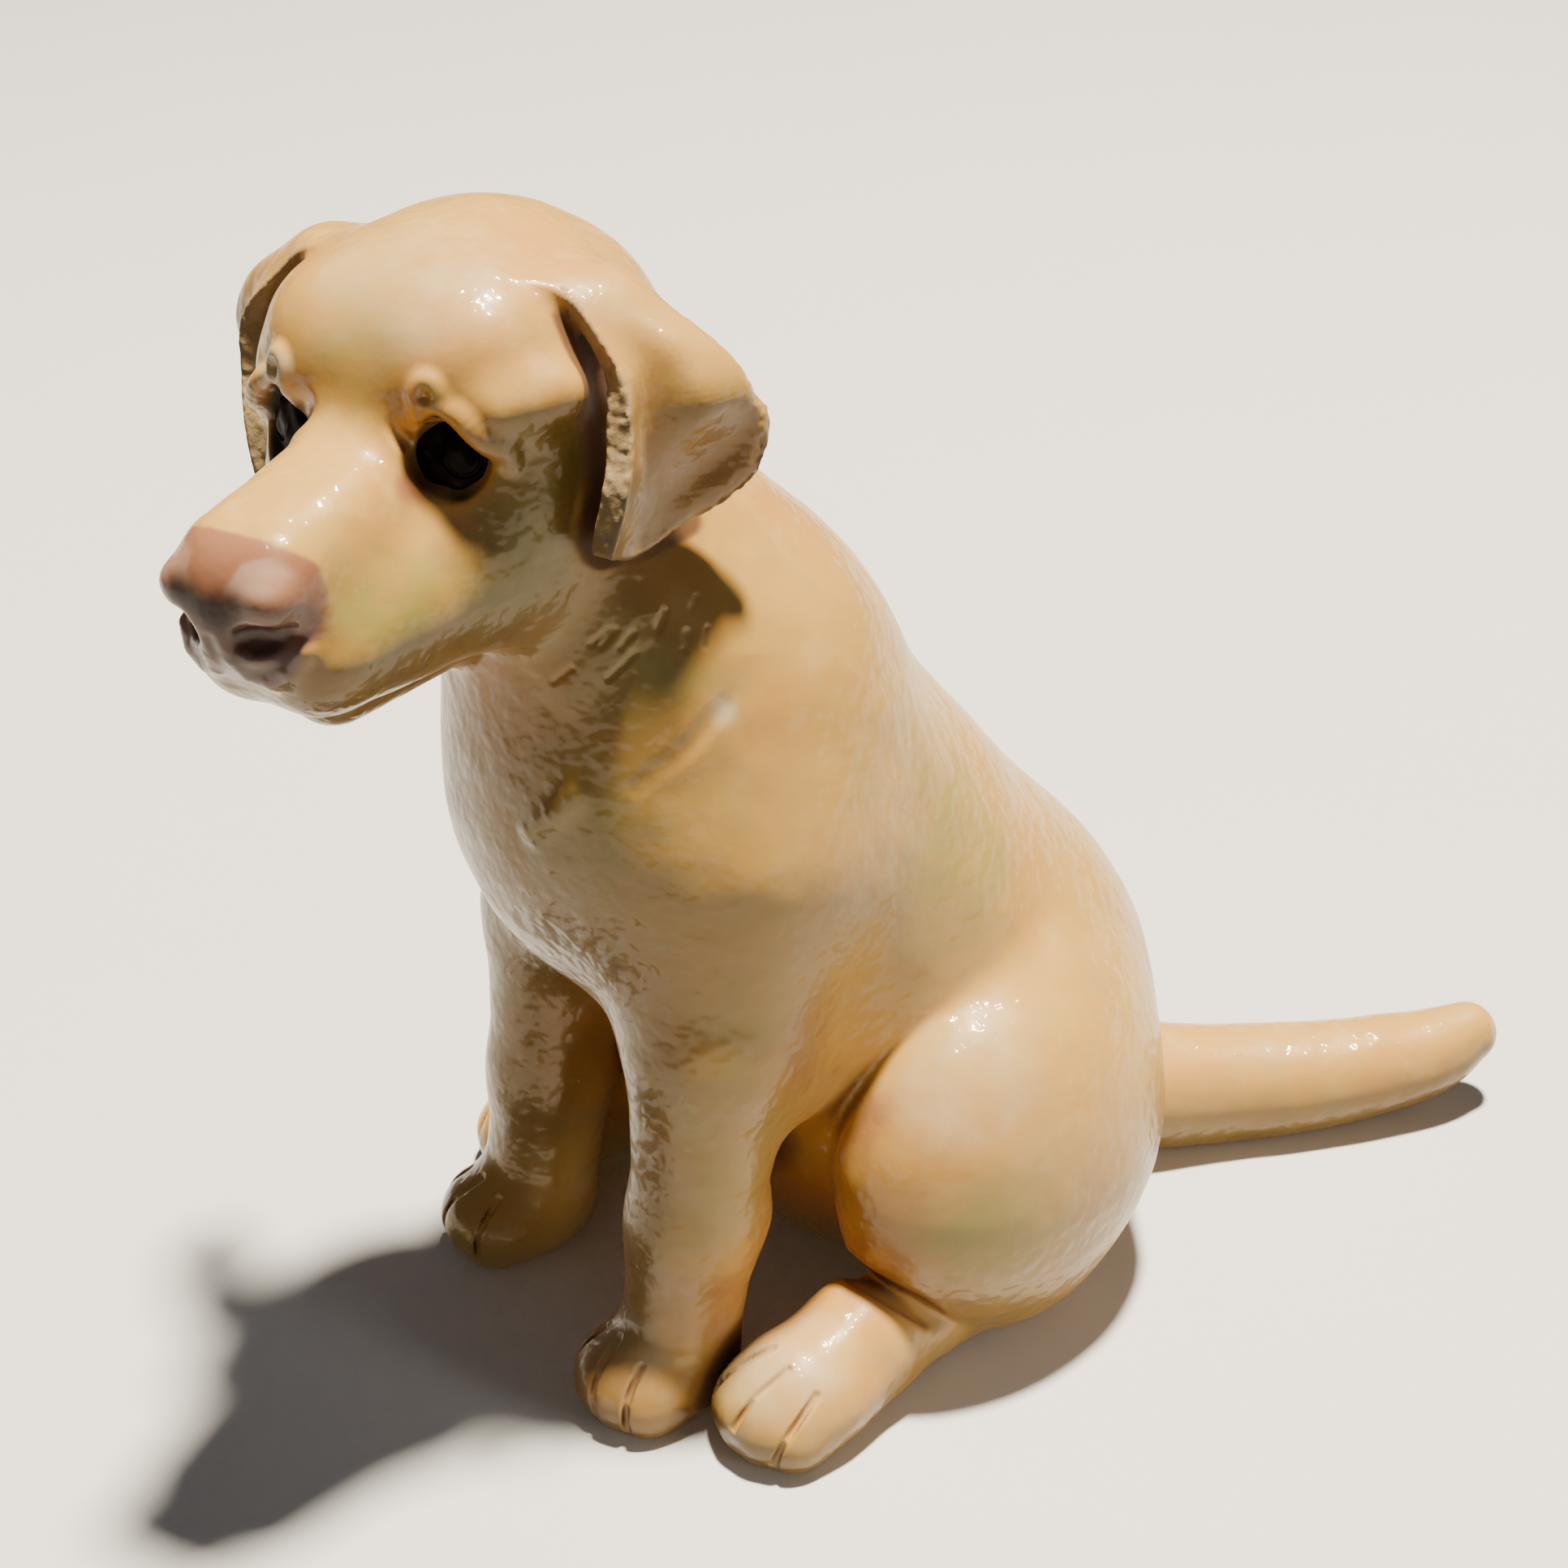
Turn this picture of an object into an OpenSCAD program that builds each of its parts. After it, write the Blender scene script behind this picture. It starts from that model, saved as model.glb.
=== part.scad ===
// Seated puppy figurine, hand built in clay and glazed.
// Every pinched, rolled or cut piece of clay is its own solid; neighbours
// meet face to face where they were scored, slipped and pressed together.
// Frame: +Z up, the body looks along -Y, the dog's own left side is +X,
// origin on the table under the middle of the figure.

/* [Torso] */
// Clay wall of the hollow torso
wall = 6; // [4:0.5:8]
// Width of the seated hips
hip_w = 50; // [46:1:54]
// Width of the rib cage
chest_w = 40; // [36:1:44]
// Thickness of the neck where the head sits on it
neck_d = 30; // [26:1:32]

/* [Base] */
// Diameter of the slab that closes the torso underneath
base_d = 24; // [18:1:26]
// Thickness of that slab
base_t = 5; // [4:0.5:6]
// Diameter of the vent that lets air out in the kiln
vent_d = 3.4; // [2.4:0.2:5]

/* [Head] */
// How far the head is turned to the dog's left, in degrees
head_turn = 28; // [0:1:40]
// How far the head is tipped, in degrees
head_tip = -1; // [-5:1:5]
// Width of the skull
skull_w = 34.4; // [32:0.4:37]
// Clay wall of the hollow skull
skull_wall = 5; // [4:0.5:7]
// Diameter of the eye pellets
eye_d = 7.6; // [6.4:0.2:8]

/* [Ears] */
// Thickness of the clay slab that the ears are cut from
ear_t = 2.6; // [2:0.1:3]
// How far the ear's fold stands out from the middle of the head
ear_out = 25.5; // [24:0.5:27]

/* [Legs] */
// Distance of each foreleg from the middle plane
leg_x = 16.5; // [15.5:0.5:18]
// Thickness of the foreleg above the wrist
leg_d = 12.8; // [11:0.2:14]
// Width of the paws
paw_w = 14.4; // [13:0.2:15]
// Length of the thigh from front to back
thigh_l = 41; // [38:1:44]

/* [Tail] */
// Thickness of the tail at its root
tail_d = 16; // [14:0.5:18]
// Thickness of the tail near its tip
tail_tip_d = 7.2; // [6:0.2:9]

/* [Hidden] */

// The modelling centre lies under the belly; the origin is moved back so that
// it is in the middle of the figure's footprint.
back = -14.5;
head_at = [-3.6, -24.9, 103];
seat_y = 20.5;
slip = 0.1;              // seam left by the slip
fine = 28;               // facets of the large forms
mid = 20;                // facets of the small forms

cream = "#d8b685";
olive = "#c4ac76";
pink = "#b98471";
dark = "#20110e";
bisque = "#d9c3a4";

// ---------- small helpers ----------
module egg(c, r, n = fine) hull() translate(c) scale(r) sphere(1, $fn = n);
module limb(p, n = fine)
    for (i = [0 : len(p) - 2])
        hull() for (q = [p[i], p[i + 1]])
            translate([q[0], q[1], q[2]]) sphere(q[3], $fn = n);
module above_table() difference() { children(); translate([-200, -200, -50]) cube([400, 400, 50]); }
module figure() translate([0, back, 0]) children();
module at_head() translate(head_at) rotate([head_tip, 0, head_turn]) children();
function side_of(s, p) = [s * p[0], p[1], p[2], p[3]];

// ---------- outer forms ----------
module chest() translate([0, -9, 62]) scale([chest_w / 2, 19.5, 22]) sphere(1, $fn = fine);
module torso_form() {
    hull() {
        translate([0, seat_y, 20]) scale([hip_w / 2, 24.5, 23.5]) sphere(1, $fn = fine);
        translate([0, 17, 31]) sphere(24.2, $fn = fine);
    }
    limb([[0, 17, 31, 24.2], [0, 9, 43, 23.7], [0, 1, 54, 22.6], [0, -5.2, 64, chest_w / 2 + 0.8],
          [0, -8, 74, 18.8], [-0.7, -12, 82, 16.8], [-2, -18, 92, neck_d / 2]], mid + 4);
    hull() { chest(); translate([0, 1, 54]) sphere(22.6, $fn = fine); }
    hull() { chest(); translate([0, -8, 74]) sphere(18.8, $fn = fine); }
}
module torso_hollow() {
    egg([0, seat_y, 22], [hip_w / 2 - wall, 24.5 - wall, 23.5 - wall], mid);
    limb([[0, 17, 31, 24 - wall], [0, -4, 62, 22 - wall]], mid);
    limb([[0, -4, 62, 22 - wall], [0, -8, 76, 17 - wall]], mid);
}
// The passage from the torso's hollow to the skull's.
module airway() limb([[0, -8, 76, 5], [-3, -20, 98, 5]], mid);

module lump(c, r, n = mid) translate(c) scale(r) sphere(1, $fn = n);
module cranium() lump([0, 3, 2.1], [skull_w / 2, 19, 15.8], fine);
module forehead(s) lump([s * 7.5, -5, 6], [9, 10, 9]);
module cheek(s) lump([s * 10, -3, -7], [8, 11, 12]);
module bridge() for (s = [-1, 1]) { lump([s * 2.6, -9, -2], 6.4 * [1, 1, 1]); lump([s * 2.8, -28.6, -6.2], 4.8 * [1, 1, 1]); }
module lip(s) { lump([s * 5, -10, -11], 9 * [1, 1, 1]); lump([s * 4.1, -25.4, -13], 6.4 * [1, 1, 1]); }
module skull_form() {
    for (s = [-1, 1]) {
        hull() { cranium(); forehead(s); }
        hull() { cranium(); cheek(s); }
        hull() { bridge(); lip(s); }
    }
    hull() { forehead(-1); forehead(1); }
    hull() { lip(-1); lip(1); }
}
module jaw_form() limb([[0, -6, -17, 7], [0, -20.4, -19.6, 4.6]], mid);
module nose_form() egg([0, -31, -8.8], [6.2, 4.8, 6], mid);
module foreleg_form(s) {
    limb([[s * 13.5, -8, 58, 12], [s * leg_x, -13, 40, leg_d * 0.655],
          [s * leg_x, -16.5, 20, leg_d / 2], [s * leg_x, -18.5, 9, leg_d / 2 - 0.2]], mid);
    egg([s * leg_x, -21.6, 4.2], [paw_w / 2, 8.8, 5.4], mid);
}
// Each thigh is an egg that points a little outwards, towards its foot.
module thigh_form(s) hull() translate([s * 21.8, 16.5, 20.5]) rotate(s * 16)
    scale([13.6, thigh_l / 2, 20.6]) sphere(1, $fn = fine);
module hind_foot_form(s) {
    limb([[s * 24, 8, 7.5, 6.5], [s * 27, -4, 6.6, 5.8], [s * 28.8, -11.5, 5.2, 6]], mid);
    egg([s * 28.6, -12, 4.6], [paw_w / 2, 8.8, 5.6], mid);
}
module tail_form()
    limb([[2, 40, 8, tail_d / 2], [8, 54, 6.2, tail_d * 0.425], [13, 66, 6, tail_d * 0.39],
          [17, 77, 6.8, tail_d * 0.325], [18.5, 83, 8.6, tail_tip_d / 2]], mid);

// ---------- ears: a slab that leaves the head at the top, rolls over and hangs ----------
// Places on the outer face of the left ear, in rows from the root down to the
// lower edge, each row from the front edge to the rear edge; between them the
// face is a smooth curve.
ear_rows = [
    [[8, -1.6, 11.4], [8.5, 0.6, 12.4], [9, 3, 12.8], [9.5, 5.2, 12.4]],
    [[13.8, -2.6, 13.2], [14.8, -0.6, 13.9], [15.8, 2.4, 14], [16, 5.3, 13.4]],
    [[18, -3.8, 10.8], [19, -1.6, 11.2], [21, 1.6, 11], [21.6, 5.6, 10]],
    [[21.8, -4.4, 6.2], [21.9, -1.6, 7], [24.8, 1.2, 7.6], [25.8, 6.3, 7.2]],
    [[23, -5.3, 0.8], [22.4, -2.2, 1.2], [26.6, 1.2, 2.8], [28.1, 7.3, 3.8]],
    [[23.4, -6.9, -3], [22.1, -2.4, -4.2], [23.9, 2.8, -3], [29.1, 7.6, 0.9]],
    [[22.4, -7.8, -7.7], [21.6, -3, -8.2], [23.5, 2.4, -6.6], [29.1, 7, -2]],
    [[22, -7.9, -9.2], [21.8, -2.9, -10.2], [23.5, 2.2, -8.8], [28.5, 6.2, -4.4]]];
// How much further out the same places of the right ear lie.
ear_lean = [[0, 0, 0, 0], [-0.2, 0.2, 0.2, 0.2], [-0.9, 0.2, 0.7, 0.7], [0, 0.8, 1.1, 1.1],
            [-0.9, 0.9, 1.1, 1.1], [-2.4, 0.4, 0.9, 0.9], [-2.9, -0.2, 0.5, 0.5], [-3.1, -0.5, 0.3, 0.3]];
function ear_net(lean) = [for (j = [0 : 7]) [for (i = [0 : 3])
    let (p = ear_rows[j][i]) [p[0] * (1 + (ear_out / 25.5 - 1) * min(1, j / 3)) + lean * ear_lean[j][i], p[1], p[2]]]];
function bend(a, b, c, d, t) =
    0.5 * (2 * b + (c - a) * t + (2 * a - 5 * b + 4 * c - d) * t * t + (3 * b - a - 3 * c + d) * t * t * t);
function along(r, u) =
    let (n = len(r) - 1, x = max(0, min(0.99999, u)) * n, i = floor(x))
    bend(i > 0 ? r[i - 1] : 2 * r[0] - r[1], r[i], r[i + 1], i + 2 <= n ? r[i + 2] : 2 * r[n] - r[n - 1], x - i);
function ear_face(net, u, v) = along([for (r = net) along(r, u)], v);
function ear_normal(net, u, v) =
    let (e = 0.01, n = cross(ear_face(net, min(1, u + e), v) - ear_face(net, max(0, u - e), v),
                             ear_face(net, u, min(1, v + e)) - ear_face(net, u, max(0, v - e)))) -n / norm(n);
nu = 9;
nv = 16;
module ear_form(lean) {
    net = ear_net(lean);
    pts = [for (k = [0, -1]) for (j = [0 : nv]) for (i = [0 : nu])
           ear_face(net, i / nu, j / nv) + k * ear_t * ear_normal(net, i / nu, j / nv)];
    m = (nu + 1) * (nv + 1);
    function at(k, i, j) = k * m + j * (nu + 1) + i;
    rim = concat([for (i = [0 : nu - 1]) [i, 0]], [for (j = [0 : nv - 1]) [nu, j]],
                 [for (i = [nu : -1 : 1]) [i, nv]], [for (j = [nv : -1 : 1]) [0, j]]);
    faces = concat(
        [for (j = [0 : nv - 1]) for (i = [0 : nu - 1]) for (t = [0, 1])
            t == 0 ? [at(0, i, j), at(0, i + 1, j), at(0, i + 1, j + 1)]
                   : [at(0, i, j), at(0, i + 1, j + 1), at(0, i, j + 1)]],
        [for (j = [0 : nv - 1]) for (i = [0 : nu - 1]) for (t = [0, 1])
            t == 0 ? [at(1, i, j), at(1, i + 1, j + 1), at(1, i + 1, j)]
                   : [at(1, i, j), at(1, i, j + 1), at(1, i + 1, j + 1)]],
        [for (q = [0 : len(rim) - 1]) for (t = [0, 1])
            let (a = rim[q], b = rim[(q + 1) % len(rim)])
            t == 0 ? [at(0, a[0], a[1]), at(1, a[0], a[1]), at(1, b[0], b[1])]
                   : [at(0, a[0], a[1]), at(1, b[0], b[1]), at(0, b[0], b[1])]]);
    polyhedron(pts, faces, convexity = 6);
}

// ---------- eyes and brows ----------
module eye_seat(s, gap = 0) translate([s * 9.8, -12.6, 0.7]) sphere(eye_d / 2 + gap, $fn = 32);
module brow_form(s)
    limb([side_of(s, [6.6, -17.2, 5.4, 1.7]), side_of(s, [9.4, -15.6, 5.8, 1.6]),
          side_of(s, [12.6, -12.8, 4.6, 1.3]), side_of(s, [14.4, -10.2, 2, 0.9])], mid);

// ---------- the pieces ----------
module torso() color(cream) figure() above_table() difference() {
    torso_form();
    torso_hollow();
    airway();
    at_head() skull_form();
    at_head() jaw_form();
    translate([0, seat_y, -1]) cylinder(d = base_d + 2 * slip, h = base_t + 1, $fn = 64);
}
module base_slab() color(bisque) figure() translate([0, seat_y, 0]) difference() {
    cylinder(d = base_d, h = base_t);
    translate([0, 0, -1]) cylinder(d = vent_d, h = base_t + 2);
}
module head() color(cream) figure() difference() {
    at_head() difference() {
        skull_form();
        egg([0, 3, 2.1], [skull_w / 2 - skull_wall, 19 - skull_wall, 15.8 - skull_wall], mid);
        for (s = [-1, 1]) eye_seat(s, slip);
    }
    airway();
}
module lower_jaw() color(olive) figure() at_head() difference() { jaw_form(); skull_form(); }
module nose_pad() color(pink) figure() at_head() difference() {
    nose_form();
    skull_form();
    for (s = [-1, 1]) egg([s * 3.6, -35.4, -10.6], [1.5, 2, 1.1], mid);
}
module eye(s) color(dark) figure() at_head() eye_seat(s);
module brow(s) color(cream) figure() at_head() difference() { brow_form(s); skull_form(); eye_seat(s, slip); }
module ear(s) color(cream) figure() at_head() difference() {
    if (s > 0) ear_form(0); else mirror([1, 0, 0]) ear_form(1);
    skull_form();
}
module foreleg(s) color(cream) figure() above_table() difference() { foreleg_form(s); torso_form(); }
module thigh(s) color(cream) figure() above_table() difference() { thigh_form(s); torso_form(); foreleg_form(s); }
module hind_foot(s) color(cream) figure() above_table() difference() {
    hind_foot_form(s); torso_form(); thigh_form(s); foreleg_form(s);
}

module left_eye() eye(1);
module right_eye() eye(-1);
module left_brow() brow(1);
module right_brow() brow(-1);
module left_ear() ear(1);
module right_ear() ear(-1);
module left_foreleg() foreleg(1);
module right_foreleg() foreleg(-1);
module left_thigh() thigh(1);
module right_thigh() thigh(-1);
module left_hind_foot() hind_foot(1);
module right_hind_foot() hind_foot(-1);
module tail() color(cream) figure() above_table() difference() {
    tail_form(); torso_form(); thigh_form(1); thigh_form(-1);
}

torso();
base_slab();
head();
lower_jaw();
nose_pad();
left_eye();
right_eye();
left_brow();
right_brow();
left_ear();
right_ear();
left_foreleg();
right_foreleg();
left_thigh();
right_thigh();
left_hind_foot();
right_hind_foot();
tail();
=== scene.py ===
import math
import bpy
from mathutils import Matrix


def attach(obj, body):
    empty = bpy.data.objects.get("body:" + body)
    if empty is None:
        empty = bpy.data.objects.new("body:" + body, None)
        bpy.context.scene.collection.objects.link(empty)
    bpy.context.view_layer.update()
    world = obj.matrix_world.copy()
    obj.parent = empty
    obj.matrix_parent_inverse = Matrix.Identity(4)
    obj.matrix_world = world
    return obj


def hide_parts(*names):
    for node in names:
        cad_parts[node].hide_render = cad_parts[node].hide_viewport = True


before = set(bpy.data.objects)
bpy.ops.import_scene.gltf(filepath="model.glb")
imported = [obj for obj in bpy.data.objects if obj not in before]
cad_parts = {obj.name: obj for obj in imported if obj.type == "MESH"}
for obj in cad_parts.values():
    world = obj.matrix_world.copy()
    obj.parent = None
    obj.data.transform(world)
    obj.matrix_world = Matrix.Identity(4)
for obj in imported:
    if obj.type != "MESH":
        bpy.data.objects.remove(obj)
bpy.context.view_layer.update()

from concurrent.futures import ThreadPoolExecutor

import bpy
import numpy as np
from mathutils import Matrix, Vector

# Millimetres while sculpting: +Z up, the dog faces -Y, its left is +X.
# BACK moves the sculpt to the row frame, MM turns it into metres.
BACK = -14.5
MM = 0.001
STEP = 0.55
F = np.float32


# ------------------------------------------------------------------ distances
def V(*a):
    return np.array(a, dtype=F)


def length(v):
    return np.sqrt(np.einsum("ij,ij->i", v, v))


def smin(a, b, k):
    h = np.maximum(k - np.abs(a - b), 0) / k
    return np.minimum(a, b) - h * h * k * F(0.25)


def smax(a, b, k):
    return -smin(-a, -b, k)


def ssub(a, b, k):
    return smax(a, -b, k)


def ease(x, lo, hi):
    t = np.clip((x - lo) / (hi - lo), 0, 1)
    return t * t * (3 - 2 * t)


def sphere(P, c, r):
    return length(P - V(*c)) - F(r)


def roundcone(P, a, b, r1, r2):
    a = V(*a)
    b = V(*b)
    ba = b - a
    l2 = float(ba @ ba)
    rr = r1 - r2
    a2 = l2 - rr * rr
    il2 = 1.0 / l2
    pa = P - a
    y = pa @ ba
    z = y - l2
    xv = pa * F(l2) - np.outer(y, ba)
    x2 = np.einsum("ij,ij->i", xv, xv)
    y2 = y * y * l2
    z2 = z * z * l2
    k = np.sign(rr) * rr * rr * x2
    d = (np.sqrt(np.maximum(x2 * a2 * il2, 0)) + y * rr) * il2 - r1
    m1 = np.sign(z) * a2 * z2 > k
    m2 = (~m1) & (np.sign(y) * a2 * y2 < k)
    d[m1] = np.sqrt(np.maximum(x2[m1] + z2[m1], 0)) * il2 - r2
    d[m2] = np.sqrt(np.maximum(x2[m2] + y2[m2], 0)) * il2 - r1
    return d.astype(F)


def capsule(P, a, b, r):
    a = V(*a)
    b = V(*b)
    ba = b - a
    pa = P - a
    h = np.clip((pa @ ba) / float(ba @ ba), 0, 1)
    return length(pa - np.outer(h, ba)) - F(r)


def axes(n, up=(0, 0, 1)):
    """Columns: side, up and n itself, a right-handed frame with n pointing out."""
    n = np.asarray(n, float) / np.linalg.norm(n)
    s = np.cross(up, n)
    s /= np.linalg.norm(s)
    return np.stack([s, np.cross(n, s), n], 1)


def ellipsoid(P, c, r, R=None):
    q = P - V(*c)
    if R is not None:
        q = q @ np.asarray(R, F)
    r = V(*r)
    k0 = length(q / r)
    k1 = length(q / (r * r))
    return (k0 * (k0 - 1) / np.maximum(k1, 1e-6)).astype(F)


def chain(P, pts, k):
    d = None
    for p, q in zip(pts[:-1], pts[1:]):
        e = roundcone(P, p[:3], q[:3], p[3], q[3])
        d = e if d is None else smin(d, e, k)
    return d


def line(P, pts, r):
    """Distance to a polyline, less r."""
    d = None
    for a, b in zip(pts[:-1], pts[1:]):
        e = capsule(P, a, b, r)
        d = e if d is None else np.minimum(d, e)
    return d


def catmull(pts, n):
    p = np.asarray(pts, float)
    p = np.vstack([2 * p[0] - p[1], p, 2 * p[-1] - p[-2]])
    out = []
    for i in range(1, len(p) - 2):
        a, b, c, d = p[i - 1 : i + 3]
        for t in np.arange(n) / n:
            out.append(
                0.5
                * (
                    2 * b
                    + (c - a) * t
                    + (2 * a - 5 * b + 4 * c - d) * t * t
                    + (3 * b - a - 3 * c + d) * t**3
                )
            )
    out.append(p[-2])
    return np.array(out)


def polygon(p, poly):
    """Signed distance to a closed outline in a plane."""
    s = np.ones(len(p), F)
    d = np.full(len(p), 1e9, F)
    for i in range(len(poly)):
        a = np.array(poly[i], F)
        b = np.array(poly[i - 1], F)
        e = b - a
        w = p - a
        t = np.clip((w @ e) / float(e @ e), 0, 1)
        g = w - np.outer(t, e)
        d = np.minimum(d, (g * g).sum(1))
        c1 = p[:, 1] >= a[1]
        c2 = p[:, 1] < b[1]
        c3 = e[0] * w[:, 1] > e[1] * w[:, 0]
        s[(c1 & c2 & c3) | (~c1 & ~c2 & ~c3)] *= -1
    return (s * np.sqrt(d)).astype(F)


def noise(P, seed=0):
    """Smooth value noise, -1 to 1, one unit per cell."""
    p = np.floor(P).astype(np.int64)
    f = (P - p).astype(F)
    u = f * f * f * (f * (f * 6 - 15) + 10)
    out = np.zeros(len(P), F)
    for dx in (0, 1):
        for dy in (0, 1):
            for dz in (0, 1):
                h = (
                    ((p[:, 0] + dx) * 73856093)
                    ^ ((p[:, 1] + dy) * 19349663)
                    ^ ((p[:, 2] + dz) * 83492791)
                    ^ (seed * 2654435761)
                ) & 0xFFFFFFFF
                h = ((h ^ (h >> 15)) * 2246822519) & 0xFFFFFFFF
                h = ((h ^ (h >> 13)) * 3266489917) & 0xFFFFFFFF
                h = h ^ (h >> 16)
                v = ((h & 0xFFFF) / F(32767.5) - 1).astype(F)
                w = (
                    (u[:, 0] if dx else 1 - u[:, 0])
                    * (u[:, 1] if dy else 1 - u[:, 1])
                    * (u[:, 2] if dz else 1 - u[:, 2])
                )
                out += v * w
    return out


def turn(yaw, pitch):
    yaw, pitch = math.radians(yaw), math.radians(pitch)
    cy, sy, cp, sp = math.cos(yaw), math.sin(yaw), math.cos(pitch), math.sin(pitch)
    return np.array([[cy, -sy, 0], [sy, cy, 0], [0, 0, 1]]) @ np.array(
        [[1, 0, 0], [0, cp, -sp], [0, sp, cp]]
    )


def fold(Q, soft=0.0):
    """The head's left half stands for both halves; soft keeps the middle free of a crease."""
    A = Q.copy()
    A[:, 0] = np.sqrt(Q[:, 0] ** 2 + F(soft * soft))
    return A


# --------------------------------------------------------------------- forms
HEAD_AT = V(-3.6, -24.9, 103.0)
HEAD_TURN = turn(27.9, -1.3).astype(F)


def torso(P):
    d = ellipsoid(P, (0, 20.5, 20.5), (25, 24.5, 23.5))
    d = smin(d, roundcone(P, (0, 17, 31), (0, -4, 62), 24, 22), F(12))
    d = smin(d, ellipsoid(P, (0, -9, 62), (20, 19.5, 22)), F(10))
    d = smin(d, roundcone(P, (0, -7, 75), (-2, -18, 92), 18, 15), F(10))
    return d


def paw(P, c, size, s, out):
    """A paw that points out degrees away from straight ahead, with four hardly raised toes."""
    d = ellipsoid(P, c, size)
    g = math.radians(out) * s
    R = np.array([[math.cos(g), -math.sin(g), 0], [math.sin(g), math.cos(g), 0], [0, 0, 1]], F)
    q = (P - V(c[0], c[1], 0)) @ R
    for x, y in ((-4.3, -3.6), (-1.5, -4.9), (1.5, -4.9), (4.3, -3.6)):
        d = smin(d, ellipsoid(q, (x, y, 3.4), (2.4, 3.4, 3.4)), F(2.0))
    return d


def foreleg(P, s):
    x = s * 16.5
    d = chain(
        P,
        [(s * 13.5, -8, 58, 12), (x, -13, 40, 8.4), (x, -16.5, 20, 6.4), (x, -18.5, 9, 6.2)],
        F(3),
    )
    d = smin(d, ellipsoid(P, (s * 17.5, -7.5, 37), (5.2, 5.2, 7)), F(4))
    d = smin(d, ellipsoid(P, (s * 17.2, -12.4, 21), (3.4, 3.2, 3.6)), F(3))
    return smin(d, paw(P, (x, -21.6, 4.2), (7.2, 8.4, 5.4), s, 8), F(3))


def thigh(P, s):
    a = math.radians(16)
    R = np.array([[math.cos(a), s * math.sin(a), 0], [s * math.sin(a), -math.cos(a), 0], [0, 0, 1]])
    return ellipsoid(P, (s * 21.8, 16.5, 20.5), (13.6, 20.5, 20.6), R)


def foot(P, s):
    d = chain(P, [(s * 24, 8, 7.5, 6.5), (s * 27, -4, 6.6, 5.8), (s * 28.8, -11.5, 5.2, 6)], F(3))
    return smin(d, paw(P, (s * 28.6, -11.9, 4.6), (7.2, 8.4, 5.6), s, 14), F(2.5))


TAIL = catmull(
    [(2, 40, 8, 8), (8, 54, 6.2, 6.8), (13, 66, 6, 6.2), (17, 77, 6.8, 5.2), (18.5, 83, 8.6, 3.6)], 5
)


def tail(P):
    d = None
    for a, b in zip(TAIL[:-1], TAIL[1:]):
        e = roundcone(P, a[:3], b[:3], a[3], b[3])
        d = e if d is None else np.minimum(d, e)
    return d


def skull(Q):
    A = fold(Q, 2.6)
    A[:, 0] += F(0.8) * ease(-Q[:, 0], 1, 8)
    d = ellipsoid(Q, (0, 3.4, 2.0), (17.2, 18.6, 15.6))
    d = smin(d, ellipsoid(A, (7.5, -5, 6), (8.8, 9.4, 8.8)), F(4))
    d = smin(d, roundcone(A, (2.0, -9, -1.8), (3.1, -29, -6.0), 5.4, 5.0), F(4))
    d = smin(d, roundcone(A, (5, -10, -11.2), (4.2, -25.5, -13.5), 9, 6.5), F(4))
    d = smin(d, ellipsoid(A, (9.6, -3.4, -7), (7.8, 10.6, 12)), F(5))
    d = smin(d, roundcone(Q, (13.6, -11.4, 4.6), (16.4, -6.4, 5.2), 1.5, 2.0), F(3.5))
    return smin(d, roundcone(Q, (-11.8, -10.4, 4.2), (-14.6, -5.6, 4.8), 1.2, 1.6), F(3.5))


def on(p, height):
    """A point of the left half of the head, moved to this height over the bare skull."""
    p = np.array([p], F)
    for _ in range(6):
        g = np.array([(skull(p + o) - skull(p - o))[0] / 0.2 for o in np.eye(3, dtype=F) * F(0.1)], F)
        p = p - (skull(p)[0] - F(height)) * g / max(float(g @ g), 0.1)
    return tuple(float(x) for x in p[0])


def trail(points, height, n=4):
    """A smooth run of points with a radius each, laid on the bare skull."""
    return [(*on(p[:3], height), float(p[3])) for p in catmull(points, n)]


def jaw(Q):
    return roundcone(Q, (0, -6, -17.0), (0, -20.6, -19.6), 6.8, 4.4)


def nose(Q):
    """The end of the muzzle: two wings over the nostrils and a raised rim under them."""
    A = fold(Q, 0.8)
    d = ellipsoid(Q, (0, -30.7, -8.8), (6.3, 5.0, 6.3))
    d = smin(d, ellipsoid(A, (4.5, -32.6, -6.9), (2.7, 2.4, 2.3)), F(1.3))
    d = smin(d, chain(A, [(1.6, -34.0, -12.4, 0.5), (2.0, -33.0, -13.9, 0.7), (3.6, -32.3, -14.2, 0.8), (5.3, -31.9, -13.2, 0.9), (6.5, -31.4, -11.6, 0.7)], F(0.2)), F(0.9))
    return d


EYE_AT = np.array([9.7, -13.1, 0.6])
EYE_AXES = axes((0.46, -0.87, 0.14))


def by_eye(x, y, z=0.0):
    """A place given to the side of, above and out of the left eye."""
    return tuple(EYE_AT + EYE_AXES @ np.array([x, y, z]))


LID = trail([(*by_eye(-1.3, 4.7), 0.6), (*by_eye(0.6, 4.2), 1.0), (*by_eye(2.4, 2.9), 1.25), (*by_eye(4.0, 1.2), 1.15), (*by_eye(5.0, -0.7), 0.6)], -0.25)
KNOB_AT = np.array([8.6, -15.5, 6.2])
KNOB = trail(
    [(*(KNOB_AT + EYE_AXES @ np.array([x, y, 0])), r) for x, y, r in (
        (0.95, -0.9, 0.45), (1.0, 0.3, 0.6), (0.5, 1.25, 0.65), (-0.4, 1.35, 0.65), (-1.0, 0.6, 0.65), (-1.1, -0.6, 0.6), (-1.0, -1.7, 0.4),
    )],
    -0.05,
)
DIMPLE = on(tuple(KNOB_AT + EYE_AXES @ np.array([0, 0.1, 0])), 0.2)


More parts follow.
